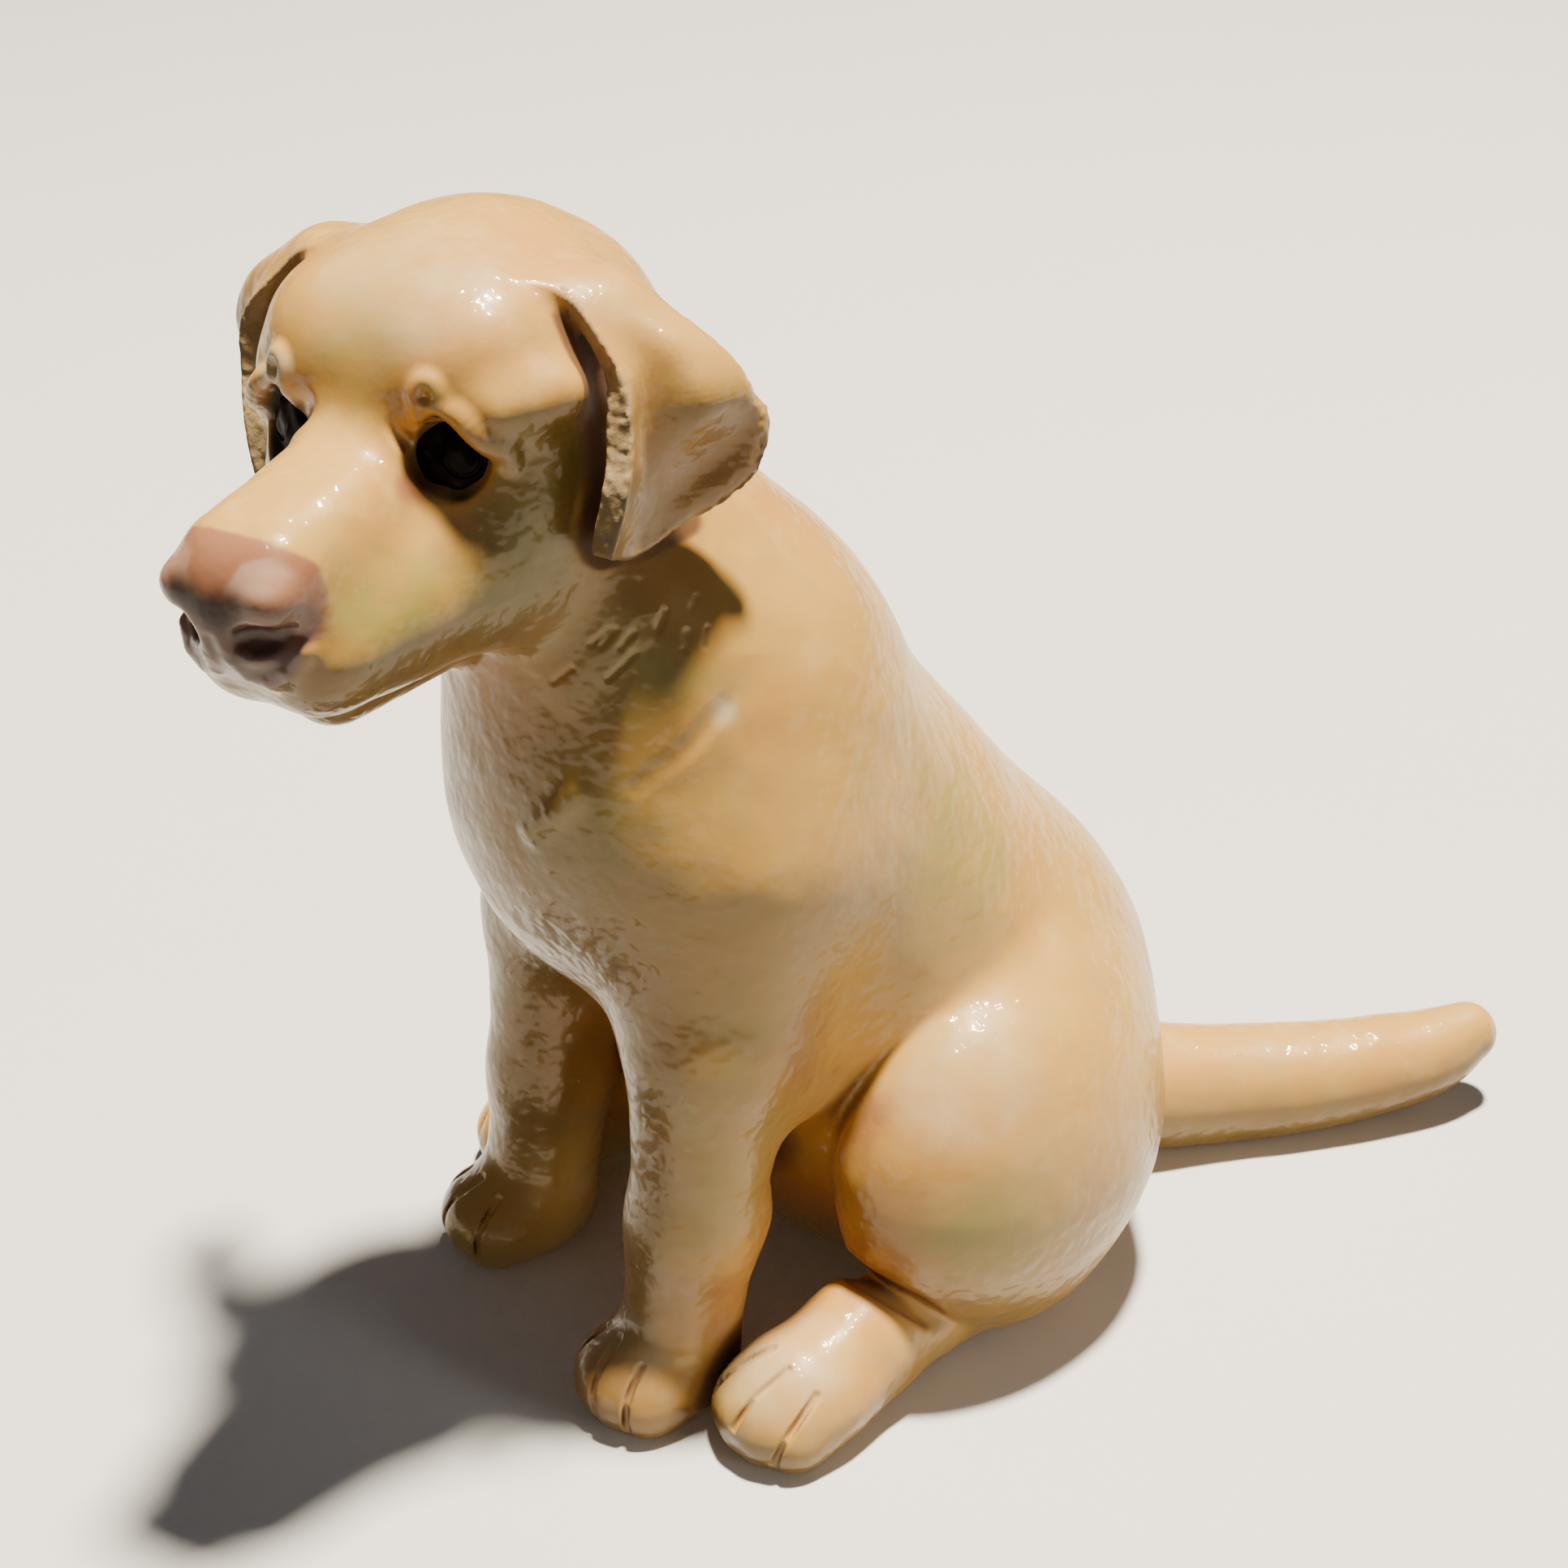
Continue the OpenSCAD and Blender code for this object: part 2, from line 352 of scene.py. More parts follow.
def brow(A):
    """The lid over the eye and the small curl of clay at its inner end."""
    d = sphere(A, (10.4, -13.6, 4.0), 7.0)
    m = d < 3
    if m.any():
        B = A[m]
        e = smin(chain(B, LID, F(0.1)), chain(B, KNOB, F(0.1)), F(0.7))
        d[m] = ssub(e, sphere(B, DIMPLE, 0.65), F(0.5))
    return d


# The ear is a sheet that leaves the head at the top, rolls over and hangs, dished below
# the fold. Rows run from the root down, each from the front edge to the rear edge.
EAR_ROWS = (
    ((8.0, -1.6, 11.4), (8.5, 0.6, 12.4), (9.0, 3.0, 12.8), (9.5, 5.2, 12.4)),
    ((13.8, -2.6, 13.2), (14.8, -0.6, 13.9), (15.8, 2.4, 14.0), (16.0, 5.3, 13.4)),
    ((18.0, -3.8, 10.8), (19.0, -1.6, 11.2), (21.0, 1.6, 11.0), (21.6, 5.6, 10.0)),
    ((21.8, -4.4, 6.2), (21.9, -1.6, 7.0), (24.8, 1.2, 7.6), (25.8, 6.3, 7.2)),
    ((23.0, -5.3, 0.8), (22.4, -2.2, 1.2), (26.6, 1.2, 2.8), (28.1, 7.3, 3.8)),
    ((23.4, -6.9, -3.0), (22.1, -2.4, -4.2), (23.9, 2.8, -3.0), (29.1, 7.6, 0.9)),
    ((22.4, -7.8, -7.7), (21.6, -3.0, -8.2), (23.5, 2.4, -6.6), (29.1, 7.0, -2.0)),
    ((22.0, -7.9, -9.2), (21.8, -2.9, -10.2), (23.5, 2.2, -8.8), (28.5, 6.2, -4.4)),
)
EAR_ASIDE = {
    1: ((0, 0, 0, 0),) * 8,
    -1: (
        (0, 0, 0, 0), (-0.2, 0.2, 0.2, 0.2), (-0.9, 0.2, 0.7, 0.7), (0.0, 0.8, 1.1, 1.1),
        (-0.9, 0.9, 1.1, 1.1), (-2.4, 0.4, 0.9, 0.9), (-2.9, -0.2, 0.5, 0.5), (-3.1, -0.5, 0.3, 0.3),
    ),
}
EAR_HALF = 1.3
EAR_LO, EAR_STEP = V(4, -12.8, -15.6), 0.5
EAR_N = (64, 54, 74)


def ear_sheet(s):
    """Height over the sheet and distance past its rim, on a grid round one ear."""
    rows = [[(x + o, y, z) for (x, y, z), o in zip(r, off)] for r, off in zip(EAR_ROWS, EAR_ASIDE[s])]
    g = np.array([catmull(r, 16) for r in rows])
    S = np.stack([catmull(g[:, i], 13) for i in range(g.shape[1])], 1)
    du = np.gradient(S, axis=1)
    dv = np.gradient(S, axis=0)
    N = np.cross(du, dv)
    N /= np.linalg.norm(N, axis=2, keepdims=True)
    if N[..., 0].mean() < 0:
        N = -N
    S = S - N * EAR_HALF
    nv, nu = S.shape[:2]
    rim = np.zeros((nv, nu), bool)
    rim[:, 0] = rim[:, -1] = rim[-1] = True
    out = np.zeros_like(S)
    out[:, 0] -= du[:, 0] / np.linalg.norm(du[:, 0], axis=1, keepdims=True)
    out[:, -1] += du[:, -1] / np.linalg.norm(du[:, -1], axis=1, keepdims=True)
    out[-1] += dv[-1] / np.linalg.norm(dv[-1], axis=1, keepdims=True)
    S, N, out, rim = S.reshape(-1, 3), N.reshape(-1, 3), out.reshape(-1, 3), rim.reshape(-1)
    out /= np.maximum(np.linalg.norm(out, axis=1, keepdims=True), 1e-6)
    inside = np.array([np.sqrt(((S[rim] - p) ** 2).sum(1).min()) for p in S])
    ii = np.stack(np.meshgrid(*[np.arange(n) for n in EAR_N], indexing="ij"), -1).reshape(-1, 3)
    P = EAR_LO + ii * EAR_STEP
    half = ((S * S).sum(1) * 0.5).astype(F)
    across = S.T.astype(F)

    def nearest(B):
        return (B.astype(F) @ across - half).argmax(1)

    k = np.concatenate([nearest(P[i : i + 3000]) for i in range(0, len(P), 3000)])
    w = P - S[k]
    c = (w * N[k]).sum(1)
    p = np.where(rim[k], ((w - c[:, None] * N[k]) * out[k]).sum(1), -inside[k])
    far = np.sqrt((w * w).sum(1))
    return c.reshape(EAR_N).astype(F), p.reshape(EAR_N).astype(F), far.reshape(EAR_N).astype(F)


def lookup(grid, f, i):
    """Trilinear reading of a grid at cell i, fraction f."""
    out = np.zeros(len(f), F)
    for dx in (0, 1):
        for dy in (0, 1):
            for dz in (0, 1):
                w = (
                    (f[:, 0] if dx else 1 - f[:, 0])
                    * (f[:, 1] if dy else 1 - f[:, 1])
                    * (f[:, 2] if dz else 1 - f[:, 2])
                )
                out += w * grid[i[:, 0] + dx, i[:, 1] + dy, i[:, 2] + dz]
    return out


SHEETS = {s: ear_sheet(s) for s in (1, -1)}


def ear(Q, s, rim_only=False):
    """Signed distance to one ear; far from it a lower bound."""
    q = (Q * V(s, 1, 1) - EAR_LO) / F(EAR_STEP)
    top = V(*EAR_N) - F(1.001)
    o = np.maximum(np.maximum(-q, q - top), 0) * F(EAR_STEP)
    d = length(o) + F(3.3)
    m = d < 3.3001
    if not m.any():
        return d
    i = np.clip(np.floor(q[m]).astype(np.int64), 0, np.array(EAR_N) - 2)
    f = (q[m] - i).astype(F)
    if rim_only:
        d[:] = -9
        d[m] = lookup(SHEETS[s][1], f, i)
        return d
    far = SHEETS[s][2][i[:, 0], i[:, 1], i[:, 2]]
    d[m] = np.maximum(far - F(EAR_HALF + 0.6), 3.3)
    hit = far < 6.0
    if not hit.any():
        return d
    m[m] = hit
    f = f[hit]
    i = i[hit]
    c = np.abs(lookup(SHEETS[s][0], f, i)) - F(EAR_HALF)
    p = lookup(SHEETS[s][1], f, i)
    near = (np.abs(p) < 2.2) & (np.abs(c) < 2.2)
    if near.any():
        w = Q[m][near]
        n = (noise(w * F(0.8), 5) + 0.5 * noise(w * F(1.5), 6)) * ease(w[:, 2], 11.5, 7.0) * ease(w[:, 1], 3.0, -1.0)
        p[near] += 0.05 * n * ease(-p[near], 2.2, 0.5)
        c[near] += 0.03 * n * ease(-p[near], 1.8, 0.3)
    d[m] = smax(c, p, (0.5 + 1.5 * ease(Q[m][:, 1], -1.5, 3.5)).astype(F))
    return d


def sockets(A):
    """The pool of each eye, cut off straight under the lid."""
    e = (A - EYE_AT.astype(F)) @ EYE_AXES.astype(F)
    d = ellipsoid(e, (0, 0, 1.9), (3.75, 3.95, 3.3))
    d = smin(d, ellipsoid(e, (-1.7, -0.2, 0.7), (2.1, 2.6, 2.5)), F(0.5))
    return smax(d, F(0.718) * e[:, 0] + F(0.696) * e[:, 1] - F(1.95), F(0.5))


def nostrils(A):
    R = axes((0.60, -0.78, -0.1))
    d = ellipsoid(A, (4.3, -34.4, -10.4), (2.5, 1.7, 2.0), R)
    return smin(d, capsule(A, (4.6, -34.3, -10.2), (6.4, -32.4, -9.7), 0.7), F(1))


def clefts(Q, A):
    """Philtrum, the slit at the corner of the mouth and the dent above the bridge."""
    d = line(Q, [(0, -36, -10.5), (0, -35.2, -13.5), (0, -33.2, -16.5), (0, -31, -19)], 0.5)
    d = np.minimum(d, line(A, [(7.4, -9.4, -22.2), (9.6, -10.6, -19.8), (11.6, -11.6, -18.0)], 0.55))
    return np.minimum(d, sphere(Q, (5.4, -19.4, 4.6), 1.2))


def head_group(Q):
    A = fold(Q)
    d = smin(skull(Q), jaw(Q), F(0.9))
    d = smin(d, nose(Q), F(2.0))
    d = ssub(d, capsule(Q, (-4.8, -16.2, 3.6), (-6.8, -14.2, 1.0), 0.7), F(1.6))
    d = ssub(d, capsule(Q, (5.2, -16.2, 3.4), (6.8, -14.6, 1.2), 0.4), F(1.0))
    d = smin(d, brow(A), F(1.1))
    d = ssub(d, sockets(A), F(0.5))
    d = ssub(d, nostrils(A), F(0.8))
    d = ssub(d, clefts(Q, A), F(0.6))
    k = (0.7 + 2.4 * ease(Q[:, 2], 8.5, 13)).astype(F)
    return smin(smin(d, ear(Q, 1), k), ear(Q, -1), k)


# Every form has a ball it lies in, so that far points need no exact distance.
BODY = {
    "torso": (torso, (0, 5, 50), 62),
    "left_foreleg": (lambda P: foreleg(P, 1), (16, -14, 34), 42),
    "right_foreleg": (lambda P: foreleg(P, -1), (-16, -14, 34), 42),
    "left_thigh": (lambda P: thigh(P, 1), (21.5, 16.5, 20.5), 21),
    "right_thigh": (lambda P: thigh(P, -1), (-21.5, 16.5, 20.5), 21),
    "left_hind_foot": (lambda P: foot(P, 1), (27, -4, 5), 22),
    "right_hind_foot": (lambda P: foot(P, -1), (-27, -4, 5), 22),
    "tail": (tail, (11, 61, 6), 32),
}


def own(name, P):
    f, c, r = BODY[name]
    d = length(P - V(*c)) - F(r)
    m = d < 9
    if m.any():
        d[m] = f(P[m])
    return d


GROOVES = []
STROKES = []
# Tufts of the coat on each side of the neck, as outlines across (towards the
# back) and up, and the small fold on the chest.
RUFF = [(-20.7, 86.4), (-18, 78.9), (-15, 77.1), (-11.1, 80.1), (-7.3, 84), (-5.6, 86.5), (-9.6, 93), (-17, 93)]
TUFT = [(-6.8, 83.5), (-6.1, 78.5), (-5.5, 75.5), (-4.5, 74.4), (-2.0, 76.6), (1.2, 79.4), (3.4, 81.2), (-0.5, 91), (-4.1, 91)]
FOLD = [(10.4, -27.5, 65.1, 0.3), (12.5, -26.2, 67.4, 0.45), (14.3, -24.6, 69.8, 0.25)]


def tufts(q):
    """How far the coat stands up at points of the neck."""
    at = np.stack([F(0.476) * np.abs(q[:, 0]) + F(0.88) * q[:, 1], q[:, 2]], 1)
    up = F(0.35) * ease(-polygon(at, RUFF), -0.8, 2.6)
    up = np.maximum(up, F(0.22) * ease(-polygon(at, TUFT), -0.6, 3.0))
    return up * ease(torso(q), 3.5, 1.5)


def field(P):
    P = np.asarray(P, F)
    d = own("torso", P)
    d = smin(d, own("left_foreleg", P), F(7))
    d = smin(d, own("right_foreleg", P), F(7))
    soft = (1.0 + 5.0 * ease(P[:, 1], 6, 26)).astype(F)
    for s in ("left", "right"):
        t = own(s + "_thigh", P)
        f = own(s + "_hind_foot", P)
        d = np.minimum(smin(d, t, soft), smin(t, f, F(0.6)))
        d = ssub(d, np.sqrt(t * t + f * f) - F(1.05) + F(4) * ease(P[:, 1], 1, 8), F(1.6))
    d = smin(d, own("tail", P), F(3))
    b = length(P - HEAD_AT) - F(42)
    m = b < 6
    d = np.where(m, d, np.minimum(d, b))
    if m.any():
        d[m] = smin(d[m], head_group((P[m] - HEAD_AT) @ HEAD_TURN), F(2.2))
    n = np.abs(d) < 1.5
    if n.any():
        q = P[n]
        e = d[n] + 0.20 * noise(q / F(8.5), 1) + 0.06 * noise(q / F(3.1), 2)
        for pts, r, k, c, reach in GROOVES:
            g = length(q - c) < reach + 3
            if g.any():
                e[g] = ssub(e[g], line(q[g], pts, r), F(k))
        g = (q[:, 2] > 63) & (q[:, 2] < 95) & (q[:, 1] < 0)
        if g.any():
            e[g] -= tufts(q[g])
            e[g] = smin(e[g], chain(q[g], FOLD, F(0.1)), F(2.2))
        if STROKES:
            g = (q[:, 2] > 46) & (q[:, 2] < 96) & (q[:, 1] < 14)
            if g.any():
                w = q[g]
                x = e[g]
                for a, c, r in STROKES:
                    m2 = length(w - (a + c) * F(0.5)) < 3.5
                    if m2.any():
                        x[m2] = ssub(x[m2], capsule(w[m2], a, c, r), F(0.5))
                e[g] = x
        d[n] = e
    return smax(d, -P[:, 2], F(0.8))


def chunked(f, P, n=40000):
    P = np.asarray(P, F)
    if len(P) <= n:
        return f(P)
    with ThreadPoolExecutor(4) as pool:
        return np.concatenate(list(pool.map(f, [P[i : i + n] for i in range(0, len(P), n)])))


TETRA = np.array([[1, -1, -1], [-1, -1, 1], [-1, 1, -1], [1, 1, 1]], F)


def gradient(f, P, e=0.06):
    P = np.asarray(P, F)
    g = np.zeros((len(P), 3), F)
    for t in TETRA:
        g += t * chunked(f, P + t * F(e))[:, None]
    return g / F(4 * e)


def settle(v, turns=2):
    """Moves points on to the surface."""
    v = np.asarray(v, float)
    for _ in range(turns):
        g = np.zeros((len(v), 3), F)
        d = np.zeros(len(v), F)
        for t in TETRA:
            w = chunked(field, v + t * 0.06)
            g += t * w[:, None]
            d += w
        g /= F(0.24)
        n2 = np.maximum((g * g).sum(1), 1e-2)
        v = v - np.clip(d / F(4) / n2, -0.5, 0.5)[:, None] * g
    return v


def groove(pts, r, k):
    p = np.asarray(pts, F)
    c = p.mean(0)
    GROOVES.append((pts, r, k, c, float(length(p - c).max())))


def onto(start, direction, steps=40):
    """From points outside, along unit directions, to the surface."""
    p = np.asarray(start, F)
    u = np.asarray(direction, F)
    for _ in range(steps):
        p = p + u * F(0.8) * np.clip(field(p), -2, 6)[:, None]
    return p


def laid(points, height=0.0):
    """Points near the body, moved to this height over its surface."""
    p = np.asarray(points, F)
    for _ in range(8):
        g = gradient(field, p)
        p = p - ((field(p) - F(height)) / np.maximum((g * g).sum(1), 0.1))[:, None] * g
    return [tuple(float(x) for x in a) for a in p]


# Creases on the body: the shoulder fold on the left and the cuts between the toes.
for s in (1, -1):
    for pts, r, k, height in (
        ([(19.9, -11.8, 77.9), (20.0, -15.0, 75.3), (19.7, -16.6, 73.9), (19.0, -18.7, 72.5), (18.3, -20.2, 71.1)], 1.4, 0.7, 1.4),
        ([(16.5, -26.2, 9.6), (17.6, -28.8, 7.4), (18.3, -30.4, 4.5), (18.6, -31.0, 1.2)], 0.38, 0.4, 0.02),
        ([(20.7, -25.6, 8.4), (21.7, -27.8, 5.2), (22.2, -28.8, 1.4)], 0.38, 0.4, 0.02),
        ([(12.8, -25.8, 8.6), (12.4, -28.2, 5.2), (12.2, -29.2, 1.4)], 0.38, 0.4, 0.02),
        ([(27.9, -14.4, 11.0), (26.0, -17.6, 8.4), (24.8, -19.4, 5.0)], 0.36, 0.4, 0.04),
        ([(31.4, -14.6, 10.6), (31.0, -18.4, 8.2), (30.4, -20.6, 5.0)], 0.36, 0.4, 0.04),
        ([(34.6, -13.2, 8.8), (34.8, -17.0, 5.0), (34.6, -18.6, 2.0)], 0.36, 0.4, 0.04),
    ):
        if s < 0 and pts[0][2] > 60:
            continue
        pts = [(s * x, y, z) for x, y, z in pts]
        groove(laid(pts, height), r, k)

# Strokes of a tool in the coat of the neck, pairs of ends on the left side;
# the right side has the same ones, a little shifted.
for s in (1, -1):
    ends = [
        (11.5, -24.5, 80.4), (12.6, -23.2, 81.8), (13.6, -21.5, 84.1), (14.2, -20.0, 85.4), (14.1, -20.8, 83.9), (14.5, -19.5, 85.4),
        (15.0, -19.3, 83.8), (15.2, -18.1, 85.0), (14.9, -20.7, 80.9), (15.7, -18.3, 83.1), (16.0, -15.9, 85.0), (15.7, -15.0, 86.4),
        (17.3, -14.0, 83.0), (16.8, -13.5, 84.4), (17.7, -12.2, 83.0), (17.1, -11.5, 84.4), (16.3, -12.6, 86.1), (15.8, -11.9, 87.1),
    ]
    depth = (2, 1, 1, 1, 1, 3, 2, 2, 1)
    ends = laid([(s * x, y, z - (0 if s > 0 else 1.1)) for x, y, z in ends], 0.08)
    for i, k in enumerate(depth):
        r = 0.15 + 0.04 * k
        a, b = np.array(ends[2 * i], F), np.array(ends[2 * i + 1], F)
        STROKES.append((a, b, r - 0.02))


# -------------------------------------------------------------------- meshing
def sample(lo, hi, h, B=8):
    lo = np.asarray(lo, float)
    hi = np.asarray(hi, float)
    nb = np.ceil((hi - lo) / (h * B)).astype(int)
    n = nb * B + 1
    ii = np.stack(np.meshgrid(*[np.arange(k) for k in nb], indexing="ij"), -1).reshape(-1, 3)
    dc = chunked(field, lo + (ii + 0.5) * h * B)
    rad = h * B * math.sqrt(3) / 2
    D = np.ones(n, F)
    c = (np.sign(dc) * rad).reshape(nb)
    D[:-1, :-1, :-1] = np.repeat(np.repeat(np.repeat(c, B, 0), B, 1), B, 2)
    near = ii[np.abs(dc) < rad * 1.45 + h]
    off = np.stack(np.meshgrid(*[np.arange(B + 1)] * 3, indexing="ij"), -1).reshape(-1, 3)
    idx = (near[:, None, :] * B + off[None]).reshape(-1, 3)
    D[idx[:, 0], idx[:, 1], idx[:, 2]] = chunked(field, (lo + idx * h).astype(F))
    return D, lo


def surface_nets(D, lo, h):
    S = D < 0
    c = [
        S[i : S.shape[0] - 1 + i, j : S.shape[1] - 1 + j, k : S.shape[2] - 1 + k]
        for i in (0, 1)
        for j in (0, 1)
        for k in (0, 1)
    ]
    cnt = sum(x.astype(np.int8) for x in c)
    cell = (cnt > 0) & (cnt < 8)
    ci = np.argwhere(cell)
    vid = -np.ones(cell.shape, np.int64)
    vid[cell] = np.arange(len(ci))
    acc = np.zeros((len(ci), 3))
    num = np.zeros(len(ci))
    corners = np.array([(i, j, k) for i in (0, 1) for j in (0, 1) for k in (0, 1)])
    val = np.stack([D[ci[:, 0] + i, ci[:, 1] + j, ci[:, 2] + k] for i, j, k in corners], 1).astype(float)
    for a in range(8):
        for b in range(a + 1, 8):
            if np.abs(corners[a] - corners[b]).sum() != 1:
                continue
            va, vb = val[:, a], val[:, b]
            m = (va < 0) != (vb < 0)
            t = np.where(m, va / np.where(m, va - vb, 1), 0)
            p = corners[a] + t[:, None] * (corners[b] - corners[a])
            acc[m] += p[m]
            num[m] += 1
    v = lo + (ci + acc / num[:, None]) * h
    quads = []
    for ax in range(3):
        s0 = [slice(None)] * 3
        s1 = [slice(None)] * 3
        s0[ax] = slice(0, -1)
        s1[ax] = slice(1, None)
        a = S[tuple(s0)]
        e = np.argwhere(a != S[tuple(s1)])
        u, w = [(1, 2), (2, 0), (0, 1)][ax]
        e = e[(e[:, u] > 0) & (e[:, w] > 0) & (e[:, u] < S.shape[u] - 1) & (e[:, w] < S.shape[w] - 1)]

        def at(du, dw):
            q = e.copy()
            q[:, u] -= du
            q[:, w] -= dw
            return vid[q[:, 0], q[:, 1], q[:, 2]]

        q = np.stack([at(1, 1), at(0, 1), at(0, 0), at(1, 0)], 1)
        flip = ~a[e[:, 0], e[:, 1], e[:, 2]]
        q[flip] = q[flip][:, ::-1]
        quads.append(q)
    return v, np.concatenate(quads)


# ------------------------------------------------------------- pieces by form
LABELS = list(BODY) + [
    "head", "lower_jaw", "nose_pad", "left_brow", "right_brow", "left_ear", "right_ear",
]


def distances(P):
    """Each form's own distance, one column per label."""
    P = np.asarray(P, F)
    D = np.full((len(P), len(LABELS)), 60, F)
    for i, n in enumerate(BODY):
        D[:, i] = own(n, P)
    m = length(P - HEAD_AT) < 46
    if m.any():
        Q = (P[m] - HEAD_AT) @ HEAD_TURN
        A = fold(Q)
        left = Q[:, 0] > 0
        b = brow(A) - F(0.15)
        cols = [
            skull(Q), jaw(Q), nose(Q),
            np.where(left, b, 60), np.where(left, 60, b), np.where(left, ear(Q, 1), 60), np.where(left, 60, ear(Q, -1)),
        ]
        D[m, len(BODY) :] = np.stack(cols, 1)
    return D


def neighbours(quads):
    """For each quad its neighbour over each side, -1 where there is none."""
    n = len(quads)
    e = np.stack([quads, np.roll(quads, -1, 1)], 2).reshape(-1, 2)
    e.sort(1)
    key = e[:, 0] * (quads.max() + 1) + e[:, 1]
    order = np.argsort(key, kind="stable")
    k = key[order]
    out = -np.ones(n * 4, np.int64)
    same = np.flatnonzero(k[:-1] == k[1:])
    a, b = order[same], order[same + 1]
    out[a] = b // 4
    out[b] = a // 4
    return out.reshape(n, 4)


def tidy(lab, near):
    """Small islands of one label go to the label around them."""
    for _ in range(3):
        seen = np.zeros(len(lab), bool)
        groups = []
        for s in range(len(lab)):
            if seen[s]:
                continue
            seen[s] = True
            stack = [s]
            group = []
            while stack:
                f = stack.pop()
                group.append(f)
                for g in near[f]:
                    if g >= 0 and not seen[g] and lab[g] == lab[f]:
                        seen[g] = True
                        stack.append(int(g))
            groups.append(group)
        best = {}
        for g in groups:
            best[lab[g[0]]] = max(best.get(lab[g[0]], 0), len(g))
        done = True
        for g in groups:
            own_label = lab[g[0]]
            if len(g) < best[own_label]:
                around = [lab[h] for f in g for h in near[f] if h >= 0 and lab[h] != own_label]
                if around:
                    lab[g] = max(set(around), key=around.count)
                    done = False
        if done:
            break
    return lab


def build_skin():
    D, lo = sample((-41, -62, -2.5), (41, 92, 125), STEP)
    v, q = surface_nets(D, lo, STEP)
    del D
    v = settle(v, 2)
    lab = distances(v[q].mean(1)).argmin(1)
    near = neighbours(q)
    lab = tidy(lab, near)
    # seams between two forms are drawn along the line where the two are equally far
    a = np.repeat(np.arange(len(q)), 4)
    b = near.reshape(-1)
    m = (b >= 0) & (lab[a] != lab[b])
    ev = np.stack([q, np.roll(q, -1, 1)], 2).reshape(-1, 2)[m]
    pair = np.stack([lab[a[m]], lab[b[m]]], 1)
    pair.sort(1)
    seam = {}
    for (p0, p1), (l0, l1) in zip(ev, pair):
        for p in (int(p0), int(p1)):
            seam.setdefault(p, set()).update((int(l0), int(l1)))
    ids = np.array([p for p, s in seam.items() if len(s) == 2])
    la = np.array([min(seam[p]) for p in ids])
    lb = np.array([max(seam[p]) for p in ids])
    rows = np.arange(len(ids))

    def gap(P):
        d = distances(P)
        return d[rows, la] - d[rows, lb]

    home = v[ids].copy()
    for _ in range(3):
        P = v[ids].astype(F)
        g = gap(P)
        G = np.zeros((len(ids), 3), F)
        for i in range(3):
            o = np.zeros(3, F)
            o[i] = 0.1
            G[:, i] = (gap(P + o) - gap(P - o)) / 0.2
        N = gradient(field, P)
        N /= np.maximum(length(N), 1e-6)[:, None]
        G -= N * (G * N).sum(1)[:, None]
        g2 = np.maximum((G * G).sum(1), 0.05)
        w = P - np.clip(g / g2, -0.4 * STEP, 0.4 * STEP)[:, None] * G - home
        far = np.sqrt((w * w).sum(1))
        v[ids] = home + w * np.minimum(1, 0.8 * STEP / np.maximum(far, 1e-6))[:, None]
    v[ids] = settle(v[ids], 1)
    e = np.concatenate([q[:, [0, 1]], q[:, [1, 2]], q[:, [2, 3]], q[:, [3, 0]]])
    e = np.unique(np.sort(e, 1), axis=0)
    ring = np.zeros(len(v), bool)
    ring[list(seam)] = True
    fixed = ring.copy()
    for _ in range(3):
        grow = ring[e[:, 0]] | ring[e[:, 1]]
        ring[e[grow].ravel()] = True
    move = ring & ~fixed
    e = e[ring[e[:, 0]] & ring[e[:, 1]]]
    e = np.concatenate([e, e[:, ::-1]])
    count = np.maximum(np.bincount(e[:, 0], minlength=len(v)), 1)
    mv = np.flatnonzero(move)
    for _ in range(4):
        mean = np.stack([np.bincount(e[:, 0], v[e[:, 1], k], minlength=len(v)) for k in range(3)], 1) / count[:, None]
        v[mv] = v[mv] + 0.6 * (mean[mv] - v[mv])
        v[mv] = settle(v[mv], 1)
    return v, q, lab


def refine(v, q, pick):
    """Each picked quad becomes four; new points go on to the surface, those on the rim stay on the rim's edges."""
    e = np.stack([q, np.roll(q, -1, 1)], 2).reshape(-1, 2)
    e.sort(1)
    key = e[:, 0] * (len(v) + 1) + e[:, 1]
    u, first, inv, count = np.unique(key, return_index=True, return_inverse=True, return_counts=True)
    inv = inv.reshape(-1, 4)
    split = np.zeros(len(u), bool)
    split[inv[pick]] = True
    number = np.cumsum(split) - 1 + len(v)
    mid = v[e[first[split]]].mean(1)
    cen = v[q[pick]].mean(1)
    inner = count[split] > 1
    new = settle(np.concatenate([mid[inner], cen]), 1)
    mid[inner] = new[: inner.sum()]
    cen = new[inner.sum() :]
    m = number[inv[pick]]
    c = len(v) + len(mid) + np.arange(pick.sum())
    four = np.stack(
        [np.stack([q[pick][:, i], m[:, i], c, m[:, i - 1]], 1) for i in range(4)], 1
    ).reshape(-1, 4)
    rest = ~pick
    touched = rest & split[inv].any(1)
    polys = []
    for k in np.flatnonzero(touched):
        f = []
        for i in range(4):
            f.append(int(q[k, i]))
            if split[inv[k, i]]:
                f.append(int(number[inv[k, i]]))
        polys.append(tuple(f))
    return np.concatenate([v, mid, cen]), np.concatenate([q[rest & ~touched], four]), polys


def sides(q, polys=()):
    """Directed sides of all faces."""
    e = [np.stack([q, np.roll(q, -1, 1)], 2).reshape(-1, 2)]
    e += [np.array([(f[i - 1], f[i]) for i in range(len(f))]) for f in polys]
    return np.concatenate(e)


